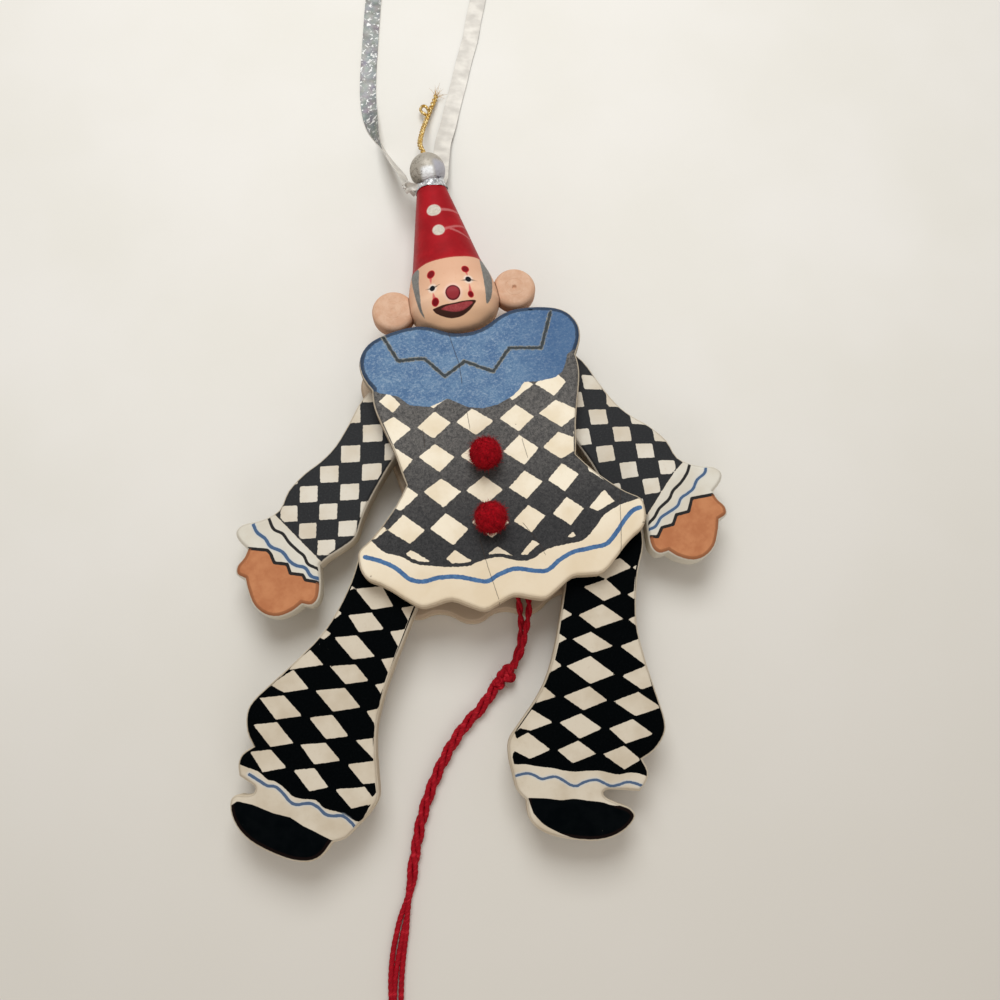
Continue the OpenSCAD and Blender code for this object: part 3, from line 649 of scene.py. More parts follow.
gold_thread = gold_finish()
gold_line = smooth_line(gold_route, 0.2)
gold_up = (0.2, 0.1, 1)
gold = Piece("gold_cord_thread")
for k in range(2):
    ply = wound(gold_line, 0.33, 16, start=k * math.pi, up=gold_up)
    gold.skin(ridged(ply, 0.4, 50, 10, plies=2, depth=0.2, up=gold_up), twist=0.8)
loop_at = np.linspace(0, 2 * math.pi, 40)
loop = np.array([3.0, 127.3, 2.1]) + np.stack(
    [0.95 * np.cos(loop_at) - 0.35 * np.sin(loop_at), 1.45 * np.sin(loop_at), 0.35 * np.sin(2 * loop_at)], 1)
rng = np.random.default_rng(11)
fray = 18
root = np.tile([[6.7, 131.4, 1.25]], (fray, 1)) + rng.normal(0, 0.22, (fray, 3))
lean = np.array([0.35, 1.0, 0.05]) + rng.normal(0, 0.42, (fray, 3)) * [1, 1, 0.5]
frayed = Piece("gold_cord_frayed_end")
frayed.skin(tube(loop[:-1], 0.42, 8, (0.1, 0.2, 1)), twist=0.8)
bend = rng.normal(0, 0.35, (fray, 3)) * [1, 1, 0.3]
frayed.rings(fibres(root, lean, bend, rng.uniform(1.2, 3.2, (fray, 1)), 0.08))
frayed = frayed.finish("torso", [], "gold_thread", [gold_thread])
gold = gold.finish("torso", ["gold_cord"], "gold_thread", [gold_thread])

# Gift ribbon: a thin band that turns over once, speckled and bright on its face, plain on its back


def ribbon_finish(name, face):
    f = Finish(name)
    # Painted sheen: the band's tone drifts lighter and darker along its length
    painted_sheen_flow = f.noise(1.0, 3.0, 0.5, at=f.uv(), stretch=(3.0, 0.35, 1.0))
    if face:
        blot = f.noise(1.0, 4.0, 0.62, at=f.uv(), stretch=(9.0, 0.95, 1.0), warp=0.6)
        tint = f.noise(0.5, 2.0, 0.5, colour=True)
        colour = f.mix(f.part(painted_sheen_flow), (102, 105, 106), (140, 141, 139))
        colour = f.over(colour, tint, 0.1)
        colour = f.over(colour, (226, 226, 223), f.part(blot, 0.55, 0.61))
        rough = f.part(blot, 0.4, 0.6, (0.42, 0.56))
        return f.set(colour=colour, rough=rough, metal=0.25, level=0.4, normal=f.bump(blot, 0.03))
    # Painted sheen on the back: lighter and darker along the band
    colour = f.mix(f.part(painted_sheen_flow), (196, 191, 183), (222, 217, 208))
    return f.set(colour=colour, rough=0.5, metal=0.1, level=0.4, normal=f.bump(painted_sheen_flow, 0.05))


def foil_finish():
    f = Finish("ribbon bright folds")
    # Painted reflection: the crumpled foil lighter and darker with its folds
    painted_sheen_flow = f.noise(0.9, 4.0, 0.6, warp=0.6)
    colour = f.mix(f.part(painted_sheen_flow, 0.35, 0.6), (150, 152, 156), (232, 234, 236))
    return f.set(colour=colour, rough=0.3, metal=0.6, normal=f.bump(painted_sheen_flow, 0.3, strength=0.8))


ribbon_face = ribbon_finish("ribbon speckled face", True)
ribbon_back = ribbon_finish("ribbon plain back", False)
foil = foil_finish()


def band(piece, p, half, twist, cup=0.0, ripple=0.0, across_steps=10, thick=0.16, up=(0, 0, 1)):
    """A flat strip along p: point + x(cos k side + sin k lift), where x runs across the strip and k is its
    twist; it is cupped by x squared and rippled along its length. Its face has slot 0, its back slot 1."""
    t, s, u = frames(p, up)
    twist = np.asarray(twist, float)[:, None]
    wide = np.cos(twist) * s + np.sin(twist) * u
    lift = np.cos(twist) * u - np.sin(twist) * s
    x = np.hstack([-1, np.linspace(-0.985, 0.985, across_steps - 1), 1])
    half = np.broadcast_to(np.asarray(half, float), (len(p),))
    v = along(p)
    height = cup * (x * x - 0.4)[None] + ripple * np.sin(0.9 * v)[:, None] * x[None] * 0.6
    height = height + ripple * 0.5 * np.sin(2.3 * v + 1)[:, None] * (1 - x * x)[None]
    mid = p[:, None] + half[:, None, None] * x[None, :, None] * wide[:, None]
    mid = mid + height[..., None] * lift[:, None]
    top = mid + 0.5 * thick * lift[:, None]
    low = mid - 0.5 * thick * lift[:, None]
    loop_skin = np.concatenate([top, low[:, ::-1]], 1)
    piece.skin(loop_skin, turn=True)
    n = loop_skin.shape[1]
    quad_side = np.tile((np.arange(n) >= across_steps).astype(int), len(p) - 1)
    piece.quad_slot[-1] = quad_side
    return piece


ribbon_line = smooth_line(ribbon_route, 0.6)
route_at = along(np.array(ribbon_route, float))
line_at = along(ribbon_line) * route_at[-1] / along(ribbon_line)[-1]
ribbon_turns = [130, 128, 125, 122, 118, 108, 92, 62, 32, 10] + [0] * 5
ribbon_turns += [-20 * k for k in range(9)] + [-180] * 12
ribbon_twist = np.radians(np.interp(line_at, route_at, ribbon_turns))
ribbon_line[:, 2] = np.maximum(ribbon_line[:, 2], 0.3 + 2.1 * np.abs(np.sin(ribbon_twist)))
near_knot = np.minimum(line_at, line_at[-1] - line_at)
half_wide = 2.2 * np.clip(0.5 + near_knot / 12, 0, 1)
ribbon = band(Piece("ribbon_loop"), ribbon_line, half_wide, ribbon_twist, cup=0.12, ripple=0.06, thick=0.09)
ribbon = ribbon.finish("torso", ["ribbon"], "ribbon", [ribbon_face, ribbon_back])


# Boards: the sawn plates and limbs with worn round edges and a finely divided painted front


def board(node, name, top, painter, finishes, step=0.45, rounding=0.24):
    """A merged copy of a board's solid with rounded edges. Its flat front is filled anew with small
    triangles, a step apart, so that painter can give each point its distances from the paint's edges."""
    bm = bmesh.new()
    bm.from_mesh(cad[node].data)
    bmesh.ops.remove_doubles(bm, verts=bm.verts, dist=2e-6)
    bmesh.ops.dissolve_limit(bm, angle_limit=math.radians(1.5), verts=bm.verts, edges=bm.edges,
                             delimit={"NORMAL"})
    worn = [e for e in bm.edges if len(e.link_faces) == 2 and 0.6 < e.calc_face_angle(0) < 1.0
            and abs(e.verts[0].co.z - e.verts[1].co.z) < 1e-5]
    bmesh.ops.bevel(bm, geom=worn, offset=rounding * MM, offset_type="OFFSET", segments=3, profile=0.5,
                    affect="EDGES", clamp_overlap=True)
    level = [e for e in bm.edges if abs(e.verts[0].co.z - e.verts[1].co.z) < 1e-6
             and e.verts[0].co.z > (top - rounding) * MM - 1e-5]
    cuts = np.array([int(e.calc_length() / (1.2 * step * MM)) for e in level])
    for count in np.unique(cuts[cuts > 0]).tolist():
        bmesh.ops.subdivide_edges(bm, edges=[e for e, c in zip(level, cuts) if c == count], cuts=count)
    bmesh.ops.triangulate(bm, faces=bm.faces)
    mesh = bpy.data.meshes.new(name)
    bm.to_mesh(mesh)
    bm.free()
    co = np.zeros(3 * len(mesh.vertices))
    mesh.vertices.foreach_get("co", co)
    co = co.reshape(-1, 3) / MM
    tri = np.zeros(len(mesh.loops), int)
    mesh.loops.foreach_get("vertex_index", tri)
    tri = tri.reshape(-1, 3)
    front = (np.abs(co[tri, 2] - top) < 1e-3).all(1)
    pairs = tri[front][:, [0, 1, 1, 2, 2, 0]].reshape(-1, 2)
    key = np.sort(pairs, 1)
    _, first, times = np.unique(key, axis=0, return_index=True, return_counts=True)
    rim = pairs[first[times == 1]]
    a, b = co[rim[:, 0], :2], co[rim[:, 1], :2]
    low, high = a.min(0), a.max(0)
    gx, gy = np.meshgrid(np.arange(low[0], high[0], step), np.arange(low[1], high[1], step * 0.87))
    gx = gx + 0.5 * step * (np.arange(len(gx)) % 2)[:, None]
    q = np.stack([gx.ravel(), gy.ravel()], 1)
    q = q[within(q, a, b)]
    rim_line = np.stack([a, b], 1)
    q = q[rim_distance(np.column_stack([q, np.full(len(q), top)]), rim_line, top) > 0.4 * step]
    used, at = np.unique(rim, return_inverse=True)
    at = at.reshape(-1, 2)
    flat_points = np.vstack([co[used, :2], q])
    made = delaunay_2d_cdt([Vector(p) for p in flat_points.tolist()], at.tolist(), [], 0, 1e-7)
    new_points = np.array([(p.x, p.y) for p in made[0]])
    faces = np.array(made[2])
    middle = new_points[faces].mean(1)
    faces = faces[within(middle, a, b)]
    source = np.array([s[0] if len(s) else -1 for s in made[3]])
    index = np.where((source >= 0) & (source < len(used)), used[np.clip(source, 0, len(used) - 1)], -1)
    fresh = index < 0
    index[fresh] = len(co) + np.arange(fresh.sum())
    extra = np.column_stack([new_points[fresh], np.full(fresh.sum(), top)])
    faces = index[faces]
    verts = np.vstack([co, extra])
    u, v = verts[faces[:, 1], :2] - verts[faces[:, 0], :2], verts[faces[:, 2], :2] - verts[faces[:, 0], :2]
    backward = u[:, 0] * v[:, 1] - u[:, 1] * v[:, 0] < 0
    faces[backward] = faces[backward][:, ::-1]
    tri = np.vstack([tri[~front], faces])
    kept = np.unique(tri)
    renew = np.zeros(len(verts), int)
    renew[kept] = np.arange(len(kept))
    verts, tri = verts[kept], renew[tri]
    bpy.data.meshes.remove(mesh)
    mesh = fill_mesh(name, verts * MM, np.zeros((0, 4), int), tri)
    values = painter(verts[:, :2])
    values["edge"] = rim_distance(verts, rim_line, top)
    for key_name, value in values.items():
        mesh.attributes.new(key_name, "FLOAT", "POINT").data.foreach_set("value", value.astype(np.float32))
    return settle(mesh, cad_body[node], [node], finishes, sharp=35)


def rim_distance(verts, rim_line, top):
    """Distance in from the front's rim, and below 0 by the depth under the front."""
    a, b = rim_line[:, 0], rim_line[:, 1]
    d = b - a
    out = np.zeros(len(verts))
    for start in range(0, len(verts), 4000):
        q = verts[start:start + 4000, :2]
        t = np.clip(((q[:, None] - a) * d).sum(2) / (d * d).sum(1), 0, 1)
        out[start:start + 4000] = np.linalg.norm(q[:, None] - a - t[..., None] * d, axis=2).min(1)
    return np.where(verts[:, 2] > top - 1e-3, out, verts[:, 2] - top)


cad_body = {n: b for b, ns in frame["record"]["behaviour"]["bodies"].items() for n in ns}

# Body plate: cream diamonds on worn black, two waves at the hem and a blue collar with a dark zigzag

collar_line = rows(2, """-20.1 61  -16.3 62  -9.9 62.2  -8.4 61.8  -5.4 59.8  -1.4 58.6  2.8 58.1
    6.4 58.8  9.8 60.4  12.9 61.6  16.4 61.5  22.7 60.3  26.3 59  28.7 56.4  30.2 51.8  27.8 49.1
    26.5 46.7  24.2 45.6  23.3 43.4  22.1 41.4  20.2 40.3  16.1 40  12.5 40.5  10.9 38.8  9.1 37.5
    5.1 36.1  1.4 35.8  -2 36.8  -6.3 39.8  -8.4 39.1  -10.9 38.5  -15.5 39.8  -18 42.6  -21.8 44
    -24.8 45.9  -27.5 51.1  -27.1 55.2  -26 57.4  -23.9 59.9""")
zigzag_line = rows(2, """-19.2 59  -16.3 51.3  -10.1 50.9  -5.9 45.4  -0.6 48.3  5.7 44.5  10.7 49.7
    18.3 48.3  22.4 56.9""")
body_black = rows(2, """-30.4 9.8  -27.5 6  -23.7 4.1  -20.9 1.9  -16.9 0.6  -13.4 -0.3  -8.9 -0.9
    -6.5 -0.4  -1.8 -0.2  2.5 -1.9  5.7 -2.1  9.8 -0.5  14.5 -0.2  18.3 0  21.7 2.4  24.6 5  28.8 6.6
    32.2 7.1  36 8""")
body_blue = rows(2, """-31.9 5.6  -28.8 4.1  -25.5 1.8  -22.8 -1.3  -19.8 -2.5  -16.1 -2.3  -11.6 -3
    -7.3 -4.7  -5.1 -5.2  -2.1 -4.1  1.7 -3.6  6.1 -5  8.8 -5.3  12 -3.5  15.5 -2.3  20.2 -2.1  23.6 -1.8
    26.5 0.5  28.9 2.9  31.2 4.7  33.1 5.1""")
body_right = rows(2, """28.1 46.7  25.2 37.1  23.2 30.2  21.7 26.4  20.9 23.5  21.2 20.4  23.3 17.4
    24.8 16.6  29 12.6  33 9.8  38 8.2""")
side_patch = [[23.2, 17.4], [24.1, 17.1], [27, 13.5], [26.3, 13.1], [23.2, 16]]
body_diamonds = rows(8, """-22.6 42.1 -19.9 43.8 -17.6 40.4 -19.8 38.7
    -14 41.9 -9.1 44.2 -5.3 40.5 -10.1 38  5.4 40.3 10.5 43.3 14.5 39.5 9 36.5
    15 39.6 19.8 42.1 22.5 38.8 18.9 35.7  -25.2 35.4 -19.8 37.7 -16.2 33.9 -20.9 31.1
    -14.7 34 -10 37.2 -6.7 33.7 -11.4 30.6  -5.4 33.6 -1.1 36.3 3.4 32.2 -1.3 29.6
    4.9 32.6 9.4 35.3 13.1 31.6 8.8 28.6  14.4 32.1 19 34.7 24.6 30.7 19 27.8
    -26 28.2 -20.9 30.2 -17.1 26.4 -20.2 23.7  -15.7 26.8 -11.3 29.2 -7.3 25.2 -11.5 22.3
    -5.9 25.2 -1.4 28.1 2.7 24.3 -1.8 21.3  4.2 24.4 8.7 27.7 12.7 23.7 8.5 20.3
    13.7 23.7 18 26.8 24.2 22.8 17.3 20.1  -25.6 17.4 -19.7 20.4 -17.3 17.8 -21.9 14.8
    -16 18.3 -11.4 20.7 -7.4 16.7 -12.1 13.7  -6.2 16.7 -1.4 19.4 2.4 15.3 -2.2 12.7
    3.8 15.5 8.2 18.9 11.9 15.5 7.4 12.1  13.2 15.7 17.2 19 20.6 15.7 16.6 12.2
    -32 11.6 -27.3 12.7 -25.8 11 -29.2 9.2  -25.8 10.8 -21.6 13.8 -17.3 9.2 -21.2 6.7
    -16.1 9.4 -11.8 12.3 -7.3 7.6 -11.5 4.5  -6.3 9.1 -1.5 11.5 2.2 7.4 -2.4 4.5
    3.3 7.5 7.4 10.6 10.9 7.4 6.9 4.1  12.7 7.5 16.6 10.8 20.1 7.4 16.2 4
    21.4 7.4 25.7 10.9 27.5 7.7 23.1 6.1  -23 4.3 -21.3 5.3 -17.4 1.8 -20.6 1.5
    -13.7 1.7 -11.3 3.3 -8 0.1 -11.3 -0.8  -3.9 1 -1.5 2.3 1.5 -0.4 -1.6 -1.2
    3.5 -0.5 6.7 2.2 8.2 1.2 4.7 -1  14.9 1.5 16.4 2.4 16.9 1.3 15.6 1.1""")


def four_cornered(q, table):
    """Distance inside whichever four-cornered shape is deepest; each row of the table has its corners."""
    return np.max([inside(q, np.reshape(corners, (4, 2))) for corners in table], axis=0)


def body_paint(q):
    """Distances inside the body's painted parts. Each cream diamond has its four corners in the list."""
    x, y = q.T
    diamond = four_cornered(q, body_diamonds)
    hem = beside(q, smooth_line(body_black, 0.4))
    black = np.minimum(np.maximum(-diamond, 0.85 - hem), hem)
    black = np.minimum(black, -beside(q, body_right))
    black = np.minimum(black, -inside(q, side_patch))
    blue = stripe(q, smooth_line(body_blue, 0.4), 0.52)
    zig = stripe(q, zigzag_line, 0.4)
    cracks = [rows(2, line) for line in (
        "-3.2 57.2  -2.6 52  -2 48  -2.2 43", "-2.4 35.6  -2.5 31.5", "-5.2 5  -4.6 -2  -3.6 -9.5  -3.2 -14",
        "29.3 9.6  28.4 5.5  27.6 1  25.8 -7", "5.5 6.5  8.5 0.5  8.9 -1.5", "-13.5 33  -13.8 29",
        "9.2 26.5  9.6 22")]
    signed, near = beside(q, cracks[0]), nearest(q, cracks[0])[0]
    for line in cracks[1:]:
        away = nearest(q, line)[0]
        signed = np.where(away < near, beside(q, line), signed)
        near = np.minimum(near, away)
    holes = [[32.9, 1.6], [33.4, 1.5], [21.1, -5.4], [19.4, 17.4], [-30.2, 0.4], [26.8, 9.6], [8.4, 30.4]]
    hole = np.max([0.16 - np.hypot(x - a, y - b) for a, b in holes], axis=0)
    return {"black": black, "blue": blue, "collar": inside(q, collar_line), "zig": zig, "crack": signed,
            "near": near, "hole": hole}


def wood_paint(f, cream, stain, edge, wall=(196, 182, 158), wall_dirt_and_shade=0.55, worn=0.25):
    """Old cream paint: faintly mottled, worn to the wood along its edge, and darker down the sawn wall,
    partly dirty wood and partly painted shade.
    """
    cloud = f.noise(0.11, 4.0, 0.55)
    fine = f.noise(1.1, 4.0, 0.6)
    colour = f.mix(f.part(cloud, 0.35, 0.7), cream, stain)
    colour = f.over(colour, stain, f.part(fine, 0.52, 0.78), 0.4)
    # Darker down the sawn wall: partly dirt, partly painted shade
    down = f.part(f.plus(edge, f.times(fine, 0.5)), 0.05, -0.6)
    colour = f.over(colour, wall, down, wall_dirt_and_shade)
    low = f.plus(edge, f.times(fine, 0.3))
    rubbed = f.times(f.part(low, 0.0, -0.14), f.part(low, -0.42, -0.2))
    return f.mix(f.times(rubbed, worn), colour, (112, 92, 70))


def printed(f, edge, slight):
    """Where the printed colours lie: on the front and over all of its rounded edge."""
    return f.part(f.plus(edge, f.times(slight, 0.5)), -0.44, -0.26)


def inked(f, name, slight, more=1.0, soft=0.06):
    """How far the paint of this distance covers, with a slightly uneven edge."""
    return f.part(f.plus(f.value(name), f.times(slight, more)), -soft, soft)


def body_finish():
    f = Finish("painted body")
    edge = f.value("edge")
    slight = f.math("MULTIPLY_ADD", f.noise(1.3, 4.0, 0.62), 0.56, -0.28)
    print_on = printed(f, edge, slight)
    high = f.part(f.axis(1), 2.0, 36.0)
    # The body's walls take a dark brown: partly dirt, partly painted shade on the hem wall turned from the
    # window
    colour = wood_paint(f, (246, 235, 213), (232, 216, 187), edge, (122, 104, 84), 0.9, 0.5)
    # Painted shade: the cream darker and warmer towards the hem, where the light falls off
    colour = f.over(colour, (222, 202, 172), f.part(f.axis(1), 14.0, -8.0, (0.0, 0.6)))
    # Painted shade between the plates: darker from 3.4 to 9 mm over the table
    gap_painted_shade = f.times(f.part(f.axis(2), 3.4, 4.7), f.part(f.axis(2), 9.0, 7.0))
    colour = f.over(colour, (166, 143, 120), gap_painted_shade, 0.75)
    grit = f.noise(1.6, 7.0, 0.82)
    line = f.math("ABSOLUTE", f.plus(f.noise(0.75, 6.0, 0.68, warp=0.9), -0.5))
    crazed = f.part(line, 0.02, 0.002)
    deep = f.mix(high, (33, 33, 35), (56, 55, 55))
    pale = f.mix(high, (60, 60, 61), (112, 109, 106))
    black = f.mix(f.part(grit, 0.36, 0.68), deep, pale)
    crazed = f.times(crazed, f.part(f.axis(1), -2.0, 40.0, (0.3, 0.75)))
    black = f.over(black, f.mix(high, (92, 91, 90), (134, 130, 124)), crazed)
    black_on = f.times(inked(f, "black", slight), print_on)
    colour = f.over(colour, black, black_on)
    tone = f.mix(f.part(f.noise(0.7, 4.0, 0.7)), (56, 92, 138), (82, 122, 166))
    colour = f.over(colour, tone, inked(f, "blue", slight, 0.7))
    patch = f.noise(0.22, 5.0, 0.6)
    blue = f.mix(f.part(patch), (74, 108, 148), (98, 130, 163))
    streak = f.noise(2.0, 6.0, 0.8, stretch=(0.75, 1.0, 1.0), warp=0.4)
    blue = f.over(blue, (160, 178, 196), f.part(streak, 0.46, 0.74))
    blue = f.over(blue, (52, 82, 118), f.part(streak, 0.44, 0.3))
    darker = f.times(f.part(f.axis(0), 6.0, 24.0), 0.6)
    blue = f.over(blue, (50, 86, 130), darker)
    collar = f.plus(f.value("collar"), f.times(slight, 0.6))
    collar_on = f.times(f.part(collar, -0.08, 0.08), print_on)
    colour = f.over(colour, blue, collar_on)
    # The collar's blue runs down over the top of its wall, darkened there as painted shade
    collar_run_and_shade = f.times(f.part(f.axis(1), 51.0, 54.0), f.part(f.axis(0), 25.0, 23.0))
    collar_run_and_shade = f.times(f.times(collar_run_and_shade, f.part(edge, -0.2, -0.4)), f.part(collar, -0.08, 0.08))
    colour = f.over(colour, (56, 74, 98), collar_run_and_shade)
    rim_on = f.times(collar_on, f.part(f.plus(edge, slight), 0.42, 0.12))
    colour = f.over(colour, (36, 50, 70), rim_on, 0.85)
    zig = f.plus(f.value("zig"), f.times(slight, 1.3))
    fringe = f.times(f.part(zig, -0.3, -0.05), f.part(f.noise(1.1, 3.0), 0.35, 0.6, (0.2, 0.85)))
    colour = f.over(colour, (150, 146, 132), fringe)
    colour = f.over(colour, (54, 60, 62), f.part(zig, -0.1, 0.16))
    split = f.part(f.math("ABSOLUTE", f.plus(f.value("crack"), f.times(slight, 0.4))), 0.13, 0.04)
    split = f.times(split, f.part(f.value("near"), 0.6, 0.2))
    split = f.math("MAXIMUM", split, f.part(f.value("hole"), -0.06, 0.02))
    colour = f.over(colour, (60, 50, 42), split, 0.65)
    speck = f.part(f.noise(1.0, 6.0, 0.74), 0.735, 0.75)
    colour = f.over(colour, (236, 226, 208), speck, print_on)
    relief = f.plus(grit, f.times(split, -1.5))
    rough = f.part(grit, to=(0.46, 0.66))
    return f.set(colour=colour, rough=rough, level=0.15, normal=f.bump(relief, 0.04, strength=0.6))


painted_body = body_finish()
board("front_plate", "front_board", face_z, body_paint, [painted_body])


def plain_back(q):
    n = np.full(len(q), far_off)
    return {"black": n, "blue": n, "collar": n, "zig": n, "crack": -n, "near": -n, "hole": n}


board("back_plate", "back_board", board_t, plain_back, [painted_body], step=1.2)

# Arms: cream squares on black, waves and a zigzag cuff, terracotta hands

left_wave = rows(2, """-53.4 21.4  -53.1 19.9  -52.4 17.3  -50.5 15.8  -49.3 13.4  -47.6 11.1  -46.4 9.6
    -45.7 7.5  -44 6.2  -43.2 5.4  -41.8 4""")
left_blue = rows(2, """-56.9 20.2  -56.9 19.1  -56.3 17.2  -54.7 15.4  -53.7 13.3  -51.2 11.5  -49.9 9.1
    -48.5 7.7  -46.5 6.7  -45.5 4.6  -43.8 3.6  -42.4 2.4""")
left_cuff = rows(2, """-62 14.6  -59.8 14.1  -54.6 12.6  -54 11.7  -53.4 9.3  -50.5 8.4  -50.1 6.1
    -47.3 5.2  -46.9 3.9  -45 3.2  -43 2.2""")
left_line = [[-52.4, 21.9], [-41, 5.1]]
left_crease = [[-60.6, 7.3], [-59.1, 8.8], [-57.5, 10.1]]
square_size = 4.8


def squares(s, t, across, down):
    """Distance into the cells whose two lattice steps add up to an even number."""
    i, j = np.round(s), np.round(t)
    cell = np.minimum(across - np.abs(s - i), down - np.abs(t - j)) * square_size
    return np.where((i + j) % 2 == 0, cell, -1.0)


def left_arm_paint(q):
    """The arm's distances; the black ends at the straight line over the waves."""
    bend = ((-0.08, 0.02), (0.07, 0), (-0.02, 0.07))
    s, t = lattice(q, (-37.47, 28.09), (4.9, -0.66), (-0.79, -4.65), bend)
    ends = beside(q, left_line)
    black = np.minimum(np.maximum(-squares(s, t, 0.445, 0.432), 0.45 - ends), ends)
    line = stripe(q, smooth_line(left_wave, 0.3), 0.36)
    line = np.maximum(line, stripe(q, left_cuff, 0.38))
    blue = stripe(q, smooth_line(left_blue, 0.3), 0.4)
    crease = stripe(q, smooth_line(left_crease, 0.3), 0.3)
    return {"black": black, "line": line, "blue": blue, "hand": -beside(q, left_cuff), "crease": crease,
            "cuff": -ends}


right_wave = rows(2, """48.6 14.6  47.2 12.2  45.2 10.2  42.9 8.6  41.4 6.7  38.7 5  37.1 3.2  35.6 2.1
    34 1.2""")
right_blue = rows(2, """52.1 12.9  51.4 11.4  49.2 10.1  47.8 8.2  46 7.2  44.3 6.4  43 4.7  40.6 3.6
    38.5 2.7  36.8 0.9  35 0.4  33.6 0""")
right_cuff = rows(2, """54 6  52.6 5.9  46.9 5.9  45.4 2.9  42.3 2.7  41 0.5  38.2 0.3  36.7 -1.7
    34.7 -1.2  33.4 -1.2""")
right_line = rows(2, """49 17  46.9 15.1  44.4 13.1  41.9 10.7  38.9 7.6  36.1 4.7  33.5 2""")
right_steps = rows(2, """28 45  30.6 40.7  32.6 37  31.9 33  34.8 32.1  36.6 30.6  36.9 29.1  36.8 27
    40.8 26.2  41.5 24.9  41.4 21.7  44.9 20.9  45.4 19.2  45.5 17.5  46.9 15.1  49 13""")


def right_arm_paint(q):
    """The arm's distances; the black's far side steps down from square to square inside a cream margin."""
    bend = ((-0.04, 0.24), (-0.05, -0.12), (0, -0.05))
    s, t = lattice(q, (29.18, 30.11), (4.99, -0.78), (-0.14, -4.61), bend)
    ends = -beside(q, right_line)
    black = np.minimum(np.maximum(-squares(s, t, 0.42, 0.415), 0.4 - ends), ends)
    steps = -beside(q, right_steps)
    above = q[:, 1] > 37.4
    black = np.minimum(black, np.where(above, -far_off, steps))
    line = stripe(q, smooth_line(right_wave, 0.3), 0.36)
    line = np.maximum(line, stripe(q, right_cuff, 0.38))
    blue = stripe(q, smooth_line(right_blue, 0.3), 0.34)
    return {"black": black, "line": line, "blue": blue, "hand": beside(q, right_cuff),
            "crease": np.full(len(q), far_off), "cuff": -ends}


def limb_finish(name, cream, stain, black, grey, blue, tip, tip_dark, level):
    """Cream limb paint with black and blue printed over it; tip is the hand's or the shoe's colour."""
    f = Finish(name)
    edge = f.value("edge")
    slight = f.math("MULTIPLY_ADD", f.noise(1.4, 3.0, 0.6), 0.3, -0.15)
    print_on = printed(f, edge, slight)
    grit = f.noise(2.6, 5.0, 0.75)
    colour = wood_paint(f, cream, stain, edge)
    cool = f.times(f.part(f.value("cuff"), 0.0, 0.6), 0.3)
    colour = f.over(colour, (214, 216, 208), cool)
    dark = f.mix(f.part(grit, 0.45, 0.75), black, grey)
    black_on = f.times(inked(f, "black", slight, soft=0.05), print_on)
    colour = f.over(colour, dark, black_on)
    halo = f.part(f.plus(f.value("blue"), slight), -0.5, 0.0, (0.0, 0.45))
    colour = f.over(colour, (188, 198, 206), halo, print_on)
    colour = f.over(colour, blue, inked(f, "blue", slight, 0.7), print_on)
    tone = f.mix(f.part(f.noise(0.3, 5.0, 0.6)), tip, tip_dark)
    tip_on = f.times(inked(f, "hand", slight, 0.5), print_on)
    colour = f.over(colour, tone, tip_on)
    colour = f.over(colour, tip_dark, f.part(f.value("crease"), -0.3, 0.3), 0.5)
    line_on = f.times(inked(f, "line", slight, 0.6), print_on)
    colour = f.over(colour, f.mix(0.35, black, (30, 24, 16)), line_on)
    rim = f.times(tip_on, f.part(f.plus(edge, slight), 0.3, 0.0))
    colour = f.over(colour, f.mix(0.45, tip_dark, (40, 22, 16)), rim, 0.7)
    chip = f.part(f.noise(1.1, 5.0, 0.7), 0.745, 0.755)
    colour = f.over(colour, cream, chip, print_on)
    rough = f.part(grit, to=(0.5, 0.66))
    return f.set(colour=colour, rough=rough, level=level, normal=f.bump(grit, 0.03, strength=0.5))


painted_arm = limb_finish("painted arm", (224, 217, 203), (210, 198, 178), (38, 39, 41),
                          (60, 61, 62), (72, 98, 132), (197, 133, 91), (180, 114, 75), 0.12)
painted_leg = limb_finish("painted leg", (214, 203, 184), (198, 184, 162), (0, 2, 3),
                          (10, 12, 14), (80, 99, 126), (0, 3, 5), (5, 8, 10), 0.02)
board("left_arm", "left_arm_board", limb_top, left_arm_paint, [painted_arm])
board("right_arm", "right_arm_board", limb_top, right_arm_paint, [painted_arm])

# Legs: leaning cream lozenges on glossy black, a blue-grey wave and black shoes

left_leg_black = rows(2, """-72 -33  -68.9 -33.9  -65.8 -35.7  -63.6 -37  -62 -39  -60.3 -39.8
    -58.6 -41.5  -57 -43.6  -55.3 -44.5  -52.1 -45.5  -50.5 -47.5  -47.5 -49  -45.8 -50.2  -43.9 -51.7
    -42.6 -51.6  -40 -48.6  -36 -46""")
left_leg_blue = rows(2, """-65.8 -37.1  -63.9 -38.8  -62.2 -40.3  -60.4 -40.9  -59 -42.6  -57.7 -44.7
    -56.4 -45.6  -54.8 -45.7  -53.2 -46  -51.7 -47.2  -50.5 -48.8  -49 -49.5  -46.7 -50  -45.1 -51.7
    -44.4 -53""")
left_shoe = rows(2, """-69.2 -42.3  -66 -43.7  -61.7 -46.4  -58.2 -48  -55.7 -50.3  -52.7 -52.5  -49.4 -55
    -50.4 -55.9  -51.1 -57.1  -52.6 -59.2  -54 -62  -66 -60  -74 -50  -73 -44""")
left_leg_right = rows(2, """-20 -4  -24.6 -10.6  -27.9 -16.1  -31.3 -21.3  -33.7 -25.7  -36.2 -31.9
    -36.9 -35  -37.5 -40.1  -38 -44.6  -39.1 -47.7  -40 -49.5""")

